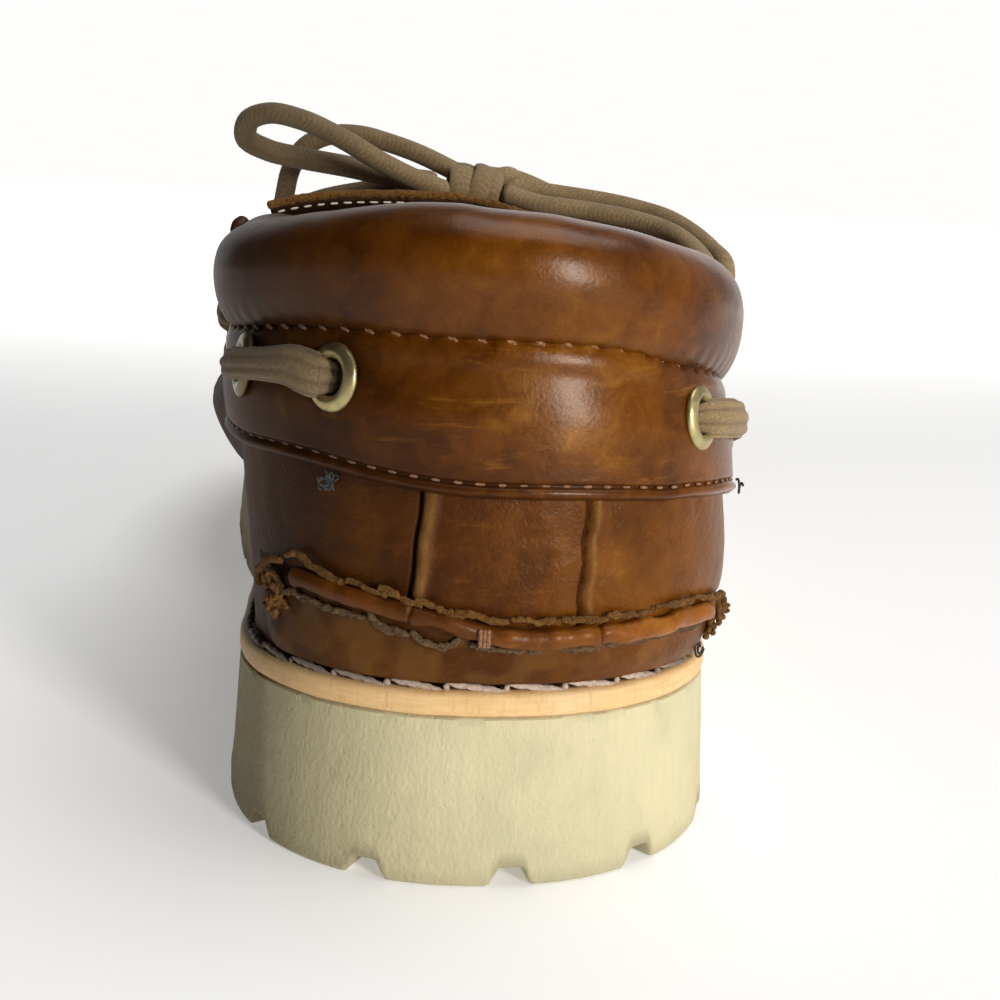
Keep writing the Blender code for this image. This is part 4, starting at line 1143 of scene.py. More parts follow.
def smooth_ring(keys, count):
    """Even points on one closed smooth curve through keys."""
    keys = np.asarray(keys, float)
    fine = smooth_path(np.concatenate([keys[-3:], keys, keys[:3]]), 16)
    loop = fine[16 * 3 : 16 * (3 + len(keys)) + 1]
    return even_path(loop, 1e-3 + run(loop)[-1] / count)[:-1]


add_eyelets()


def pleats(k, turn):
    """Long parallel folds of a lace pulled into a narrow strap."""
    fold = np.abs(np.cos(4 * turn + 0.35 * np.sin(k * 0.03)))
    fuzz = 0.03 * np.sin(k * 1.9 + turn * 7) * np.sin(k * 0.7 + turn * 3)
    return 0.34 * (fold - 0.6) + fuzz


# Half heights of a strap at its rear and front ends, and how far it hooks over its front ring
STRAP_SHAPES = {(MEDIAL, "rear"): (3.1, 2.25, 1.0), (LATERAL, "rear"): (2.9, 2.9, 0.7)}
STRAP_SIDES = 48


def strap_skin(path, tall, thick, up):
    """A flat, pleated strap whose half height and half thickness vary along it."""
    points, faces = tube(path, 1.0, STRAP_SIDES, up)
    first, second = frames_along(path, up)
    turn = circle(STRAP_SIDES)
    relief = pleats(np.arange(len(path))[:, None], turn)
    rings = points.reshape(-1, STRAP_SIDES, 3)
    rings[2:-2] = (
        path[:, None]
        + first[:, None] * (np.cos(turn) * (tall[:, None] + relief))[..., None]
        + second[:, None] * (np.sin(turn) * (thick[:, None] + relief))[..., None]
    )
    for end, near in ((1, 2), (-2, -3)):
        centre = rings[near].mean(axis=0)
        rings[end] = (rings[near] - centre) * 0.75 + rings[end].mean(axis=0)
    return points, faces, closed_rows(np.clip(-relief * 2.4, 0, 0.62))


def add_side_lace(node, side, start, end, tall_a, tall_b, hook):
    """A strap between two eyelets; hook is how far it goes over the front one's ring."""
    drop = SIDE_DROP[side]
    (first, out_a, _), (last, out_b, _) = (eyelet_place(at, side, drop) for at in (start, end))
    ahead = unit(last - first)
    route = [first - out_a * 1.1 + ahead * 0.9, first + out_a + ahead * 2.3]
    for t in (0.28, 0.5, 0.72):
        station = start + (end - start) * t
        here, out, _ = surface_frame(station, side, drop)
        arch = 1 - (2 * t - 1) ** 2
        route.append(here + out * (band_face(station) + 1.5 + 0.5 * arch))
    route.append(last + out_b * (1.0 + 1.1 * hook) - ahead * (2.3 - hook))
    if hook:
        route.append(last + out_b * 1.2 + ahead * 0.9)
    route.append(last - out_b * 1.1 - ahead * (0.9 - 1.2 * hook))
    path = even_path(smooth_path(route), 0.3)
    t = np.linspace(0, 1, len(path))
    tight = smoothstep(-0.06, 0.12, np.minimum(t, 1 - t))
    tall = (tall_a + (tall_b - tall_a) * smoothstep(0.05, 0.6, t)) * (0.72 + 0.28 * tight)
    up = np.cross(surface_frame((start + end) / 2, side, drop)[1], ahead)
    points, faces, shade = strap_skin(path, tall, 1.62 * (0.8 + 0.2 * tight), up)
    add_piece(node + "_strap", points, faces, "braid", (node,), {"shade": shade})


def add_side_laces():
    """The lace that shows between each pair of side eyelets and goes in through both."""
    for side, spots in SIDE_EYELETS.items():
        for name, ((start, _), (end, _)) in (("rear", spots[:2]), ("front", spots[2:])):
            shape = STRAP_SHAPES.get((side, name), (2.3, 2.3, 0.0))
            add_side_lace(f"lace_side_{side_name(side)}_{name}", side, start, end, *shape)


add_side_laces()


def add_lace_bars():
    """Runs across the throat through the eyelets, and from the top pair to the knot."""
    for station, name in THROAT_EYELETS[1:]:
        (a, out_a, _), (b, out_b, _) = (
            eyelet_place(station, side, THROAT_DROP) for side in (MEDIAL, LATERAL)
        )
        ahead, crest = unit(b - a), (a + b) / 2 + (0, 0, 9.0)
        climb = [(end + crest) / 2 + UP * 3.6 for end in (a, b)]
        route = [a - out_a * 1.2, a + out_a * 2.4 + ahead * 2.2, climb[0], crest,
                 climb[1], b + out_b * 2.4 - ahead * 2.2, b - out_b * 1.2]
        add_lace(f"lace_bar_{name}_run", route, (f"lace_bar_{name}",), (0, 1, 0))
    for side in (MEDIAL, LATERAL):
        a, out_a, _ = eyelet_place(THROAT_EYELETS[0][0], side, THROAT_DROP)
        inner = KNOT_CENTRE + (3.2 * side, 5.4, -2.4)
        route = [a - out_a * 1.2, a + out_a * 2.6 + unit(inner - a) * 2.2,
                 (a + inner) / 2 + (0, 1.0, 5.4), inner]
        node = f"lace_bar_top_{side_name(side)}"
        add_lace(node + "_run", route, (node,), (0, 1, 0))


add_lace_bars()

# ---------------------------------------------------------------- sole


class Ring:
    """Ribs once round the shoe: up the medial side to the toe, and back down the lateral side."""

    def __init__(self, ats):
        parts = Ribs(ats, MEDIAL), Ribs(ats[-2:0:-1], LATERAL)
        self.at, self.reach, self.root, self.aim = (
            np.concatenate([getattr(part, key) for part in parts])
            for key in ("at", "reach", "root", "aim")
        )
        edge = self.plan(0.0)
        self.along = run(np.concatenate([edge, edge[:1]]))
        self.total = self.along[-1]

    def plan(self, inset):
        return self.root + self.aim * (self.reach - inset)[:, None]

    def level(self, inset, heights):
        return np.concatenate([self.plan(inset), heights[:, None]], axis=1)

    def marks(self, pitch, inset, heights, phase):
        """Even marks round the ring: places, directions along it and outward directions."""
        count = round(self.total / pitch)
        spots = (np.arange(count) + phase) * self.total / count
        rows = np.concatenate([self.level(inset, heights), flat_vectors(self.aim)], axis=1)
        rows = np.concatenate([rows, rows[:1]])
        here, near = (read_at(spots + ahead, self.along, rows) for ahead in (0, 0.5))
        return here[:, :3], (near - here)[:, :3], here[:, 3:]


def add_layers(name, layers, look, replaces, angle):
    """A closed body from rings and their shades; its first and last rings meet on the spine."""
    grid = np.stack([ring for ring, _ in layers])
    shade = np.concatenate([np.broadcast_to(shade, grid.shape[1]) for _, shade in layers])
    points = grid.reshape(-1, 3)
    faces = grid_faces(*grid.shape[:2], wrap_columns=True)
    faces = looks_out(points, faces, points - points.mean(axis=0))
    add_piece(name, points, faces, look, replaces, {"shade": shade}, angle)


NOTCH_PITCH, NOTCH_PHASE, NOTCH_DEEP = 21.6, 0.89, 2.9
NOTCH_FOOT, NOTCH_ROOF = 3.3, 1.9
MIDSOLE_THICK, MIDSOLE_INSET, WELT_STITCH = 3.7, 1.6, 9.4


def notch_lift(ring):
    """How far the tread's edge is cut up between the lugs."""
    pitch = ring.total / round(ring.total / NOTCH_PITCH)
    off = (ring.along[:-1] / pitch - NOTCH_PHASE + 0.5) % 1 - 0.5
    cut = 1 - smoothstep(NOTCH_ROOF * 0.8, NOTCH_FOOT * 1.05, np.abs(off * pitch))
    arch = smoothstep(84, 92, ring.at) * (1 - smoothstep(160, 168, ring.at))
    return NOTCH_DEEP * cut * (1 - arch)


def add_outsole():
    """Tread with wavy cuts, notches between the lugs of its edge, and a rough side wall."""
    ring = Ring(stations(120, 0.6, 170))
    top = SOLE_HEIGHTS["top"](ring.at) - MIDSOLE_THICK
    tread, notch = SOLE_HEIGHTS["tread"](ring.at), notch_lift(ring)
    layers = []
    for t in np.linspace(1, 0, 30):
        inset = 1.0 + (ring.reach - 1.0) * t
        plan = ring.plan(inset)
        sipe = np.cos(2 * np.pi * (plan[:, 1] + 1.6 * np.sin(plan[:, 0] * 0.5)) / 7.0)
        sipe = smoothstep(0.8, 0.97, sipe) * smoothstep(14, 17, inset)
        lift = notch * (1 - smoothstep(11, 15, inset)) + 1.2 * sipe
        layers.append((ring.level(inset, tread + lift), 0.3 + 0.3 * sipe))
    low = tread + notch
    for inset, up in ((0.55, 0.12), (0.22, 0.5), (0.08, 1.1)):
        layers.append((ring.level(inset, low + up), 0.25 + 0.3 * (notch > 0.6)))
    for u in np.linspace(0.08, 0.985, 17):
        heights = low + 1.1 + (top - low - 1.1) * u
        rough = noise(ring.level(0, heights) * (1, 1, 0.3), 1.6, 3) * 0.06
        inset = MIDSOLE_INSET * np.clip((heights - tread) / (top - tread), 0, 1) - rough
        near = (1 - smoothstep(0.5, 3.0, heights - low)) * np.clip(notch / NOTCH_DEEP, 0, 1)
        layers.append((ring.level(inset, heights), 0.5 * near))
    for inset, shade in ((MIDSOLE_INSET + 0.5, 0.3), (MIDSOLE_INSET + 6, 0.3), (ring.reach, 0)):
        layers.append((ring.level(inset, top), shade))
    add_layers("outsole_rubber", layers, "rubber", ("outsole",), 50)


# Distance in from the midsole's line, height and shade
MIDSOLE_EDGE = (
    (0.35, 0.02, 0.25), (0.05, 0.35, 0), (-0.12, 0.9, 0), (-0.16, 1.9, 0), (-0.1, 2.9, 0),
    (0.12, 3.4, 0), (0.55, 3.67, 0), (1.4, 3.7, 0), (2.4, 3.6, 0.55), (3.4, 3.45, 0.55),
)


def add_midsole():
    ring = Ring(stations(90, 1.2, 110))
    top = SOLE_HEIGHTS["top"](ring.at)
    low = top - MIDSOLE_THICK
    layers = [(ring.level(inset, low + 0.02), 0) for inset in (ring.reach, MIDSOLE_INSET + 3)]
    for inset, up, shade in MIDSOLE_EDGE:
        wave = noise(ring.level(0, low + up) * (1, 1, 2.0), 5.0, 5) * 0.12
        layers.append((ring.level(MIDSOLE_INSET + inset - wave, low + up), shade))
    layers.append((ring.level(ring.reach, top - 0.2), 0.4))
    add_layers("midsole_edge", layers, "welt", ("midsole",), 70)


def add_insole():
    ring = Ring(stations(60, 2.0, 60))
    low = SOLE_HEIGHTS["top"](ring.at) + 0.3
    spots = [(ring.reach, 0), (7.6, 0), (7.2, 0.6), (7.2, 2.2), (7.6, 2.8), (8.6, 3.0)]
    for t in (0.25, 0.5, 0.75, 1.0):
        spots.append((8.6 + (ring.reach - 8.6) * t, 3.0 - 0.9 * t * (2 - t)))
    layers = [(ring.level(inset, low + up), 0) for inset, up in spots]
    add_layers("insole_sock", layers, "sock", ("insole",), 60)


def add_welt_stitches():
    """Long two-strand stitches in the groove above the midsole."""
    ring, batch = Ring(stations(90, 1.0, 90)), Batch()
    height = SOLE_HEIGHTS["top"](ring.at) + 0.45
    spots, along, out = ring.marks(WELT_STITCH, 2.9, height, 0.4)
    shape = stitch_shape(8.3, 0.5, 10, 24, 6.2)
    scatter(batch, shape, spots, along + UP * 0.06, out, 0.10, 4)
    spots, _, out = ring.marks(WELT_STITCH, 3.0, height - 0.2, 0.9)
    scatter(batch, stitch_shape(1.5, 0.5, 8, 7), spots, UP + out * 0.4, out, 0.15, 6)
    batch.build("welt_stitches", "pale")


add_outsole()
add_midsole()
add_insole()
add_welt_stitches()

# ---------------------------------------------------------------- upper

UPPER_STEPS = (16, 24, 8, 16)
LEATHER_OUT, LINING_OUT, PLEAT_PITCH = 1.3, 0.9, 6.0


def upper_stations():
    """Close together round the panel seams at the back of the heel."""
    coarse = np.arange(0, 90.01, 0.9)
    coarse = coarse[(coarse < 10.0) | (coarse > 21.5)]
    heel = heel_station(np.unique([*coarse, *np.arange(10.0, 21.5, 0.28), 90.0]))
    sides = np.arange(41.6, 164.5, 1.8), np.arange(165, 170, 0.6), np.arange(170, 207, 1.6)
    return np.unique(np.round(np.concatenate([heel, *sides, toe_stations(70)]), 5))


def seam_lines(z):
    """Where the heel's panel seams stand at each height."""
    left = -12.0 - 1.3 * (59.2 - z) / 15 + 0.10 * np.sin(z * 0.7)
    right = 11.0 - 0.5 * (57.4 - z) / 15
    return left, right + 0.20 * np.sin(z * 0.8 + 0.6) + 0.05 * np.sin(z * 2.7 + 1)


def heel_relief(points, angle, at):
    """Offsets and paint of the heel's panels, their folded edges and the cup below its ridge."""
    x, z = points[..., 0], points[..., 2]
    ridge = HEEL_RIDGE["height"](angle)
    cup = (1 - smoothstep(-1.0, 0.6, z - ridge)) * (1 - smoothstep(56, 68, np.abs(angle)))
    back = (1 - smoothstep(20, 30, at)) * smoothstep(30, 32, z)
    above = back * (1 - cup) * smoothstep(0.0, 1.0, z - ridge)
    left, right = seam_lines(z)
    jag = 0.35 * noise(points * (0.2, 0.2, 1), 0.8, 7)
    centre = smoothstep(-0.3, 0.1, x - left) * (1 - smoothstep(-0.3, 0.1, x - right))
    folds = 0.45 * bump(x, left + 1.3, 1.5) + 0.4 * bump(x, right + 1.1 + jag * 0.3, 1.3)
    folds = folds * (1 + 0.25 * noise(points * (0.3, 0.3, 1), 0.9, 17))
    gaps = bump(x, left - 0.2, 0.5) + 0.75 * bump(x, right - 0.3 + 0.6 * jag, 0.5)
    low = z - SOLE_HEIGHTS["top"](at)
    relief = above * (0.35 * centre + 0.3 * smoothstep(0, 1, x - right) + folds - 0.9 * gaps)
    relief = relief + cup * (0.7 * smoothstep(0.2, 1.2, low) + bump(low, 3.6, 5.5))
    wrinkle = 0.22 * noise(points * (1, 1, 0.55), 3.2, 11) + 0.08 * noise(points, 1.4, 12)
    wrinkle = wrinkle + 0.13 * noise(points * (0.4, 0.4, 1), 1.3, 19) * above
    relief = relief + wrinkle * (0.35 + 0.75 * hill(x - 6.5, 4.5) * above + 0.4 * cup)
    shade = above * np.clip(gaps * 1.15, 0, 1) + 0.22 * cup + 0.8 * np.clip(1 - low / 1.3, 0, 1)
    shade = shade + 0.8 * bump(z, ridge - 0.2, 1.4) * (cup > 0)
    fuzz = 0.75 + 0.45 * noise(points * (1, 1, 0.6), 0.8, 18)
    wear = above * fuzz * (0.6 * bump(x, left + 1.1, 1.3) + 0.5 * bump(x, right + 0.9, 1.0))
    return relief, shade, wear + 0.14 * cup * smoothstep(-0.1, 0.4, noise(points, 3, 9))


# Creases where the ball of the foot bends: station, bow, depth and width
CREASES = (
    (186, 0.006, 0.9, 4.0), (196, 0.004, 1.3, 4.6), (207, 0.003, 1.0, 4.2), (216, 0.004, 0.6, 3.4)
)


def vamp_relief(points):
    """Offsets of the creases over the ball of the foot."""
    x, y, z = np.moveaxis(points, -1, 0)
    fade = hill(np.abs(x - 2) - 16, 26) * 0.6 + 0.5
    total = np.zeros(x.shape)
    for station, bow, deep, wide in CREASES:
        line = y - station - bow * (x - 3) ** 2 - 1.2 * np.sin(x * 0.16 + station)
        total += fade * deep * (0.55 * hill(line - 1.7 * wide, wide) - hill(line, wide))
    return total * smoothstep(42, 58, z) * smoothstep(176, 186, y)


def upper_lines(ats):
    """Outer faces of ribs once round the shoe, their normals, and which ones meet on the spine."""
    parts = (ats, MEDIAL), (ats[-2:0:-1], LATERAL)
    lines = np.concatenate([wall_lines(*part, UPPER_STEPS) for part in parts])
    normals = cross_gradient(np.concatenate([lines[-1:], lines, lines[:1]]))[1:-1]
    aims = np.concatenate([Ribs(*part).aim for part in parts])
    flip = np.sign(np.einsum("ij,ij->i", normals[:, MIDWALL, :2], aims))
    normals = normals * flip[:, None, None]
    at = np.concatenate([part[0] for part in parts])
    closed = EDGE["medial_reach"](at) < 0.01
    y = np.minimum(at, BALL_STATION)
    slope = (INSTEP["crest"](y + 1) - INSTEP["crest"](y - 1)) / 2
    spine = unit(np.stack([0 * slope, -slope, 1 + 0 * slope], axis=1))[:, None]
    apart = smoothstep(0, 6, np.arange(lines.shape[1])[::-1])[:, None]
    mixed = unit(normals * apart + spine * (1 - apart))
    return at, lines, np.where(closed[:, None, None], mixed, normals), closed


def add_upper():
    """Leather and lining, open round the throat and joined along the spine ahead of it."""
    ats = upper_stations()
    at, lines, normals, closed = upper_lines(ats)
    side = np.where(np.arange(len(at)) < len(ats), MEDIAL, LATERAL)
    turned = np.clip(1 - at / HEEL_CENTRE, 0, 1) ** (HEEL_POWER / 2)
    angle = side * np.degrees(np.arccos(turned))
    angle, side_at = (k[:, None] + 0 * lines[..., 0] for k in (angle, at))
    relief, shade, wear = heel_relief(lines, angle, side_at)
    column = np.arange(lines.shape[1])
    shoulder = sum(UPPER_STEPS[:3])
    near_shoulder = hill(column - shoulder, 2.6) * smoothstep(165, 175, side_at)
    pleat = np.cos(2 * np.pi * run(lines[:, shoulder]) / PLEAT_PITCH)[:, None]
    relief = relief + vamp_relief(lines) + (0.34 * pleat - 0.3) * near_shoulder
    shade = shade + 0.22 * np.clip(-pleat, 0, 1) * near_shoulder
    hold = np.where(closed[:, None], smoothstep(0, 5, column[::-1]), 1.0)
    outer = lines + normals * (relief * hold * smoothstep(0, 3, column))[..., None]
    points, faces = skin(outer, lines - normals * LEATHER_OUT, normals, True, ~closed)
    paint = outer_paint(shade=shade, wear=wear)
    add_piece("upper_leather", points, faces, "panel", ("upper",), paint)
    change = np.nonzero(np.diff(closed))[0]
    rows = np.unique([*range(0, len(at), 3), *change, *(change + 1), len(ats) - 1])
    rows = np.unique([*rows, *(len(at) - rows[1:])])
    columns = np.unique([*column[::3], column[-1]])
    few, out = (grid[rows][:, columns] for grid in (lines, normals))
    outer, inner = (few - out * (LEATHER_OUT + deep) for deep in (0.05, LINING_OUT))
    add_piece("upper_lining", *skin(outer, inner, out, True, ~closed[rows]), "lining")


add_upper()

# ---------------------------------------------------------------- band and collar

GROOVE_UP, ROLL_TALL, BAND_USUAL = 1.95, 1.5, 19.8


def band_offset(down, width, along):
    """Height of the band's face over its back, by distance below the free edge."""
    up = width - down
    roll = 0.3 * np.sqrt(np.clip(1 - (up / (ROLL_TALL / 2) - 1) ** 2, 0, 1))
    groove = 0.5 * bump(up, GROOVE_UP, 0.6)
    crown = 0.55 * bump(down, width * 0.5, width * 0.46) + 0.35 * bump(down, 2.8, 2.6)
    top = (0.15 + 0.5 * beat(along, COLLAR_STITCH) ** 2) * (1 - smoothstep(0.2, 1.7, down))
    foot = 0.95 * (1 - smoothstep(-0.1, 0.8, up))
    return BAND_THICK + roll * (up < ROLL_TALL) - groove + crown - top - foot


COLLAR_STITCH, BAND_STITCH = 3.8, 2.8


def eyelet_openings(points):
    """1 over each eyelet's hole, falling to 0 under its ring."""
    found = np.zeros(points.shape[:-1])
    for _, spot in every_eyelet():
        centre, out, _ = eyelet_place(*spot)
        away = points - centre
        up = away @ out
        flat = np.sqrt(np.maximum((away**2).sum(axis=-1) - up**2, 0))
        found = np.maximum(found, (1 - smoothstep(2.7, 3.7, flat)) * (np.abs(up) < 4))
    return found


def add_band():
    """The band that carries the lace, with its rolled lower edge, groove and eyelet hollows."""
    wall = Wall(stations(110, 0.7, last=157.0))
    values = wall.column(BAND), BAND["lift"](wall.at), wall.along
    width, lift, along = (value[:, None] for value in values)
    shares = np.concatenate([np.linspace(0.25, 3.4, 9), np.linspace(3.9, 14.5, 18)]) / BAND_USUAL
    down = np.concatenate([shares * width, width - np.linspace(4.6, 0, 24)], axis=1)
    down = np.sort(down, axis=1)
    spots, normals = (np.stack(k, axis=1) for k in zip(*(wall.read(far) for far in down.T)))
    high = band_offset(down, width, along)
    high = high + noise(spots * (0.4, 0.4, 1), 4.5, 21) * 0.16 + noise(spots, 12, 22) * 0.2
    high = np.maximum(high, 0.25)
    inner = spots + normals * lift[..., None]
    open_ = eyelet_openings(inner + normals * high[..., None])
    outer = inner + normals * (high * (1 - 0.85 * open_))[..., None]
    up, pucker = width - down, beat(along, COLLAR_STITCH)
    shade = 0.5 * bump(up, GROOVE_UP, 0.5) + 0.4 * (1 - smoothstep(0.1, 0.4 + 0.7 * pucker, down))
    shade = shade + 0.5 * (1 - smoothstep(0, 0.4, up)) + open_
    points, faces = skin(outer, inner, normals)
    add_piece("lace_band_strip", points, faces, "band", ("lace_band",), outer_paint(shade=shade))
    add_band_stitches(wall, width[:, 0], lift + BAND_THICK)


def add_band_stitches(wall, width, face):
    low, high = wall.along.min() + 2, wall.along.max() - 2
    for name, pitch, shape, down, lean, proud in (
        ("band_stitches", BAND_STITCH, (1.3, 0.2, 8, 12), width - GROOVE_UP, 0.0, -0.33),
        ("collar_seam_stitches", COLLAR_STITCH, (1.7, 0.3, 8, 12, 2.2), 0.5, 0.5, -0.28),
    ):
        (spots, normals), (base, _) = wall.read(down), wall.read(down + 1.0)
        marks = np.arange(low, high, pitch)
        places, outs, downs, rise = pick(marks, wall.along, spots, normals, base - spots, face)
        (ahead,) = pick(marks + 0.4, wall.along, spots)
        along = unit(ahead - places) + unit(downs) * lean
        batch = Batch()
        places = places + unit(outs) * (rise + proud)
        scatter(batch, stitch_shape(*shape), places, along, outs, 0.14, 8)
        batch.build(name, "seam")


# The roll's section, out from the topline and up as a share of its height, about COLLAR_TALL
COLLAR_TALL = 18.6
COLLAR_PROFILE = [
    (1.9, 0.0), (4.0, 0.14), (4.9, 0.36), (4.8, 0.58), (3.6, 0.78), (0.8, 0.93), (-3.2, 1.0),
    (-7.2, 0.98), (-10.2, 0.86), (-11.2, 0.62), (-10.0, 0.36), (-6.6, 0.14), (-2.4, 0.0),
]


def add_collar():
    """Padded roll on the topline, with shallow puckers along its seam."""
    section = smooth_ring(np.array(COLLAR_PROFILE) * (1, COLLAR_TALL), 84) / (1, COLLAR_TALL)
    across, part = section.T
    ats = stations(130, 0.7, last=97.0)
    rings = []
    for a, s in ((ats[::-1], LATERAL), (ats[1:], MEDIAL)):
        here = wall_lines(a, s, (6, 8, 8, 12))[:, -1] + (0, 0, 0.55)
        reach = across * (1 - 0.42 * smoothstep(80, 97, a))[:, None]
        ring = here[:, None] + Ribs(a, s).out[:, None] * reach[..., None]
        ring[..., 2] += part * COLLAR[side_name(s)](a)[:, None]
        rings.append(ring)
    grid = np.concatenate(rings)
    middle = grid.mean(axis=1, keepdims=True)
    along = run(grid[:, 10])
    pucker = beat(along - along[len(ats) - 1], COLLAR_STITCH)[:, None]
    grid[..., 2] -= 0.75 * (1 - smoothstep(0.0, 0.2, part)) * (across > 0)
    swell = 0.16 * (1 - smoothstep(0.02, 0.24, part)) * (across > 0) * (1 - pucker)
    swell = swell + noise(grid, 13, 31) * 0.26 + noise(grid * (1, 1, 1.6), 4.2, 32) * 0.05
    grid = grid + unit(grid - middle) * swell[..., None]
    ends = []
    for k, inner in ((0, 2), (-1, -3)):
        centre = grid[k].mean(axis=0)
        ahead = unit(centre - grid[inner].mean(axis=0)) * 3.2
        ends.append([centre + (grid[k] - centre) * math.cos(turn) + ahead * math.sin(turn)
                     for turn in (0.45, 0.85, 1.2, math.pi / 2)])
    rows = np.stack([*ends[0][::-1], *grid, *ends[1]])
    shade = np.zeros(rows.shape[:2])
    shade[4:-4] = 0.35 * (1 - smoothstep(0.0, 0.07, part)) * (across > -3) * (0.7 + 0.3 * pucker)
    piece = add_piece("collar_roll", *closed_rings(rows), "collar", ("collar",), {"shade": shade})


def add_collar_tab():
    """The folded end of the collar's leather, standing up a little at its inner front corner."""
    tab = Batch()
    path = ((-40.6, 88.5, 86.6), (-42.0, 90.4, 88.0), (-42.2, 92.2, 89.3), (-41.0, 93.8, 90.4))
    rough_tube(tab, smooth_path(path), 1.0, 13, 14, 0.2, 1.0, (1, 0, 0), 1.5)
    tab.build("collar_tab", "ridge")


add_band()
add_collar()

# ---------------------------------------------------------------- ridges


def ridge_path(start, end, seed):
    """A wandering line along the heel ridge, a little out from the wall."""
    angles = np.arange(start, end, 0.4725)
    line = angles[:, None] * (1, 0, 0)
    heights = HEEL_RIDGE["height"](angles) - 0.65 + 0.25 * noise(line, 5, seed)
    spots, outs = heel_places(angles, heights)
    return spots + outs * (1.3 + 0.25 * noise(line + UP * 40, 7, seed + 1))[:, None]


def rough_tube(batch, path, radius, seed, sides, rough, size, up, flat=1.0):
    """A tube with a rough skin; rough is how deep its bumps are, and size how large."""
    path = even_path(path, 0.28)
    fat = radius * (1 + 0.5 * rough * noise(path, 5, seed))

    def ripple(k, turn):
        spot = np.broadcast_arrays(k * 0.28, np.cos(turn) * radius, np.sin(turn) * radius)
        return rough * radius * noise(np.stack(spot, axis=-1), size, seed)

    batch.tube(path, fat, sides, up, flat, ripple)


def curl(centre, along, out, radius, turns, rise, start):
    """A flat upright spiral that rises outward as it winds in."""
    angle = np.linspace(0, 2 * np.pi * turns, int(26 * turns))
    share = angle / angle[-1]
    spots = hoop(centre, along, UP, angle + start, radius * (1 - 0.7 * share))
    return spots + out * (rise * share)[:, None]


TOE_STEPS, TOE_SPACING = (6, 8, 8, 10), 0.5
RIDGE_PARTS = ((-46.5, -17.8), (-17.0, 17.4), (18.2, 52.0))
# Where the ridge ends in cut curls: angle, height and how many
FRAYED_ENDS = ((-55.0, 39.8, 14), (60.5, 36.0, 10))
# Raw leather edges on the heel, as angles round from the back and heights
UPPER_LIPS = (
    [(-30, 45.2), (-34, 44.7), (-38, 45.6), (-41, 46), (-44, 46.8), (-46, 47.1), (-48, 46.8),
     (-50, 46.2)],
    [(-22.5, 44.2), (-26, 44.4), (-29, 45.1), (-31.5, 45)],
    [(-15.5, 43), (-19, 43.5), (-22.5, 44.7), (-24, 44.9)],
    [(-7.5, 41.8), (-11, 42.2), (-14, 43.2), (-16.5, 43.7)],
    [(0, 41.2), (-3, 41.3), (-6.5, 42.1), (-9, 42.3)],
    [(9, 41), (4, 41.2), (0.5, 41.7)],
    [(19, 40.8), (14, 41.2), (9.5, 41.5)],
    [(31, 41.2), (25, 41.1), (19, 41.5)],
    [(43, 41.2), (36, 41.4), (31, 41.8)],
    [(54, 40.2), (48, 40.9), (43, 41.7)],
)
LOWER_LIPS = (
    [(-53, 41.5), (-51, 40.6), (-48, 41.4), (-46, 40.5), (-43, 40.9), (-38, 40.4), (-32, 40.3),
     (-27.5, 40.1)],
    [(-26.5, 41), (-25, 39.6), (-23, 39), (-20, 38.6), (-18, 38.3)],
    [(-17.5, 39), (-16, 38), (-13.5, 37.1), (-11, 37), (-9, 37.8), (-8, 38.6)],
    [(-6, 37.6), (-2, 37), (3, 36.7), (8, 37)],
    [(9, 37.2), (14, 36.6), (19, 36.8)],
    [(20, 37.3), (26, 36.9), (32, 37.2), (37, 37)],
    [(38, 37.4), (45, 36.8), (51, 36.6)],
)
HOOKS = (
    [(-51.5, 45.4), (-56, 44.6), (-58.5, 43.6), (-61.5, 42.4), (-64, 40.6), (-63, 39.4)],
    [(52, 39.5), (57, 39.9), (62, 38.6), (65, 36.4), (64, 34.6)],
)


def heel_route(route, proud, wave, seed):
    """A smooth line over the heel through angles and heights, standing proud of the wall."""
    spots, outs = heel_places(*smooth_path(route, 10).T)
    path = spots + outs * proud
    path[:, 2] += wave * noise(path, 1.6, seed)
    return path


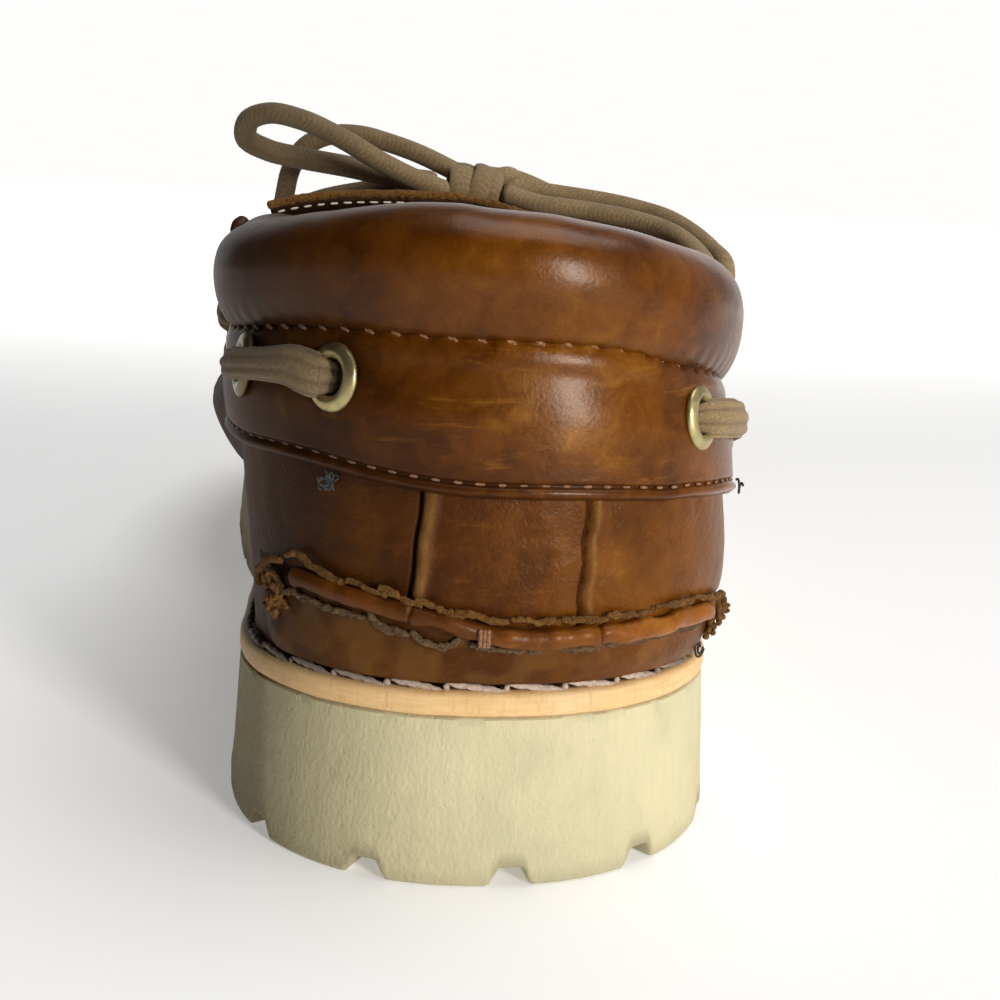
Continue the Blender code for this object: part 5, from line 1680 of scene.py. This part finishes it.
def add_heel_ridge():
    """Three rolled lengths of leather between raw upper lips and frayed lower ones."""
    beads, lips, fray, ties = Batch(), Batch(), Batch(), Batch()
    for seed, (start, end) in enumerate(RIDGE_PARTS):
        path = ridge_path(start, end, 3 * seed)
        rough_tube(beads, path, 1.3, 40 + seed, 22, 0.24, 2.2, UP, 1.08)
    for seed, route in enumerate(UPPER_LIPS):
        path = heel_route(route, 1.35, 0.2, 50 + seed)
        rough_tube(lips, path, 0.36, 60 + seed, 12, 0.6, 0.7, UP, 1.35)
    for seed, route in enumerate(LOWER_LIPS):
        for layer in range(2):
            path = heel_route(route, 1.3 - 0.45 * layer, 0.35, 80 + seed + 9 * layer)
            path[:, 2] -= 0.35 * layer
            rough_tube(fray, path, 0.32, 90 + seed + layer, 10, 0.8, 0.55, UP, 1.3)
    for seed, route in enumerate(HOOKS):
        path = heel_route(route, 1.5, 0.2, 20 + seed)
        rough_tube(lips, path, 0.48, 24 + seed, 12, 0.5, 0.8, UP, 1.2)
    rng = np.random.default_rng(31)
    for angle, height, count in FRAYED_ENDS:
        for k in range(count):
            shift = rng.uniform(-1, 1, 2) * (2.4, 2.6)
            centre, away = heel_spot(angle + shift[0], height + shift[1], 1.3)
            along = unit(np.cross(away, UP)) * (1 if k % 2 else -1)
            shape = [rng.uniform(*span) for span in ((0.9, 1.6), (0.7, 1.3), (0.6, 1.9), (0, 6))]
            rough_tube(lips, curl(centre, along, away, *shape), 0.42, 170 + k, 9, 0.55, 0.6, away)
    centre, away = heel_spot(-3.75, 38.9, 2.3)
    for lean in (-0.55, 0.0, 0.55):
        middle = centre + unit(np.cross(away, UP)) * lean
        ties.tube(hoop(middle, away * 0.55, UP * 1.15, np.linspace(-1.25, 1.25, 12), 1), 0.32, 8)
    beads.build("heel_ridge_beads", "ridge", ("heel_ridge",))
    lips.build("heel_ridge_raw_lip", "suede")
    fray.build("heel_ridge_frayed_lip", "fray")
    ties.build("heel_ridge_ties", "seam")


def add_toe_ridge():
    """Hand-sewn rolled seam round the plug, pinched by a thread at every pleat."""
    ats = np.unique(np.round(np.concatenate([np.arange(160, 208, 0.8), toe_stations(130)]), 4))
    keys = []
    shoulder = sum(TOE_STEPS[:3])
    for a, s in ((ats, MEDIAL), (ats[-2::-1], LATERAL)):
        lines = wall_lines(a, s, TOE_STEPS)
        side = Ribs(a, s).out[:, [1, 0, 2]] * (-1, 1, 1)
        up = unit(np.cross(side, lines[:, shoulder - 1] - lines[:, shoulder + 1]))
        keys.append(np.concatenate([lines[:, shoulder], up * np.sign(up[:, 2:])], axis=1))
    keys = np.concatenate(keys)
    along = run(keys[:, :3])
    marks = np.arange(0, along[-1], TOE_SPACING)
    path, ups = np.split(read_at(marks, along, keys), 2, axis=1)
    ups = unit(ups)
    centre = path + ups * 1.35
    across = unit(np.cross(unit(np.gradient(centre, axis=0)), ups))
    reach = 1.75 - 0.32 * beat(marks, PLEAT_PITCH)
    frames = zip(centre, across, ups, reach)
    rings = np.stack([hoop(*frame, circle(16), far) for *frame, far in frames])
    rings = rings + noise(rings, 2.2, 3)[..., None] * 0.08
    caps = [np.broadcast_to(rings[k].mean(axis=0), rings[k].shape) for k in (0, -1)]
    rings = np.stack([caps[0], *rings, caps[1]])
    add_piece("toe_ridge_roll", *closed_rings(rings), "ridge", ("toe_ridge",))
    threads, arc = Batch(), np.linspace(-0.35, math.pi + 0.35, 14)
    every = round(PLEAT_PITCH / TOE_SPACING)
    for k in range(every // 2, len(marks) - every // 2, every):
        threads.tube(hoop(centre[k], across[k], ups[k], arc, 1.62), 0.42, 8)
    threads.build("toe_ridge_stitches", "seam")


add_heel_ridge()
add_toe_ridge()

# ---------------------------------------------------------------- tongue

TONGUE = table(
    "station half crest",
    [(98, 38, 98), (102, 38, 96.7), (106, 33.4, 95.3), (109, 31, 94.2), (112, 31, 93.2),
     (125, 31.5, 89), (145, 30.5, 82.2), (165, 27, 75.2), (184, 22, 69.2)],
)
TONGUE_DROOP, TONGUE_DROP, TONGUE_THICK = {MEDIAL: (4.0, 3.5), LATERAL: (10.5, 1.15)}, 3.7, 2.8


def tongue_height(x, y):
    """Free and gently curved above the throat, following the instep's inside below it."""
    sides = zip(TONGUE_DROOP[LATERAL], TONGUE_DROOP[MEDIAL])
    droop, power = (np.where(x > 0, *values) for values in sides)
    free = TONGUE["crest"](y) - droop * (np.abs(x) / 40.0) ** power
    covered = np.maximum(y, THROAT_TOP)
    under = instep_height(x + spine_x(covered), covered) - TONGUE_DROP
    return free + (under - free) * smoothstep(104, THROAT_TOP, y)


def add_tongue():
    """A loose flap with a raw front edge and a row of stitches under it."""
    ys = np.concatenate([np.linspace(98, 112, 30), np.linspace(113.5, 184, 48)])
    y, t = np.meshgrid(ys, np.linspace(-1, 1, 73), indexing="ij")
    x = TONGUE["half"](y) * t
    grid = np.stack([x + spine_x(y), y, tongue_height(x, y)], axis=-1)
    normals = cross_gradient(grid)
    normals = normals * np.sign(normals[..., 2:])
    edge = 0.5 * (1 - smoothstep(98, 100.5, y))
    outer = grid + normals * (noise(grid, 9, 41) * 0.25 - edge)[..., None]
    inner = grid - normals * (TONGUE_THICK - edge)[..., None]
    points, faces = skin(outer, inner, normals)
    add_piece("tongue_leather", points, faces, "lining", ("tongue",), None, 60)
    lip, stitches = Batch(), Batch()
    front = grid[0] - normals[0] * (TONGUE_THICK * 0.42) - (0, 0.4, 0)
    rough_tube(lip, front, 0.8, 5, 12, 0.3, 0.8, UP, 1.1)
    lip.build("tongue_raw_edge", "suede")
    row = inner[2] - normals[2] * 0.1
    along = run(row)
    marks = np.arange(2, along[-1] - 2, 2.6)
    spots, near = (read_at(marks + ahead, along, row) for ahead in (0, 0.5))
    out = -read_at(marks, along, normals[2])
    scatter(stitches, stitch_shape(1.7, 0.24), spots, near - spots, out, 0.1, 3)
    stitches.build("tongue_stitches", "white")


add_tongue()
add_collar_tab()

# ---------------------------------------------------------------- lint and loose threads


def add_threads():
    """Dark threads that stand off the heel and the side, and a tuft of lint."""
    loose, lint = Batch(), Batch()
    centre, away = heel_spot(57.0, 30.6, 2.2)
    along = unit(np.cross(UP, away))
    here, out, side = surface_frame(33.0, LATERAL, 18.4)
    for path in (
        curl(centre, along, away, 1.2, 1.2, 0.8, 0.0),
        curl(centre, along, away, 1.9, 0.6, 0.8, 2.4),
        curl(here + out * 3.0, side, out, 1.5, 1.3, 1.0, 1.0),
    ):
        loose.tube(even_path(path, 0.3), 0.2, 6)
    loose.build("loose_threads", "black")
    rng = np.random.default_rng(12)
    tuft, _ = heel_spot(-37.0, 58.6, 1.3)
    for _ in range(26):
        start = tuft + rng.uniform(-1, 1, 3) * (0.7, 0.3, 0.8)
        tail = start + rng.uniform(-1, 1, (4, 3)).cumsum(axis=0) * (0.4, 0.2, 0.45)
        lint.tube(even_path(smooth_path([start, *tail], 6), 0.25), 0.12, 5)
    lint.build("lint_tuft", "lint")


add_threads()

# ---------------------------------------------------------------- floor and light


def add_floor():
    turn = circle(64)
    ring = np.stack([6 * np.cos(turn), 6 * np.sin(turn), 0 * turn], axis=1)
    mesh = bpy.data.meshes.new("floor")
    mesh.from_pydata(ring.tolist(), [], [tuple(range(64))])
    mesh.materials.append(LOOKS["floor"])
    floor = bpy.data.objects.new("floor", mesh)
    bpy.context.scene.collection.objects.link(floor)


def add_light(name, at, target, energy, color, size, size_y=None):
    data = bpy.data.lights.new(name, "AREA")
    data.energy, data.size, data.color = energy, size, color
    if size_y:
        data.shape, data.size_y = "RECTANGLE", size_y
    lamp = bpy.data.objects.new(name, data)
    lamp.location = at
    lamp.rotation_euler = (Vector(target) - Vector(at)).to_track_quat("-Z", "Y").to_euler()
    bpy.context.scene.collection.objects.link(lamp)


def add_world():
    """Bright ahead of the camera and dimmer at its right."""
    world = bpy.data.worlds.new("studio")
    bpy.context.scene.world = world
    world.use_nodes = True
    nodes = Nodes(world.node_tree, "Generated")
    ahead = nodes.span(nodes.axis("Y"), 0.70, 0.88)
    right = nodes.span(nodes.axis("X"), 0.05, 0.9, 0.0, 0.42)
    back = world.node_tree.nodes["Background"].inputs
    nodes.feed(back["Strength"], nodes.math("ADD", ahead, right, True))
    nodes.feed(back["Color"], (1.0, 0.99, 0.98))


add_floor()
add_world()
add_light("key_light", (0.50, -1.0, 0.32), (0, -0.1, 0.06), 8.6, (1.0, 0.97, 0.93), 0.20, 0.42)
add_light("top_light", (0.3, -0.05, 1.2), (0, 0, 0.05), 7, (1.0, 1.0, 1.0), 0.8)
bpy.context.scene.view_settings.view_transform = "Standard"
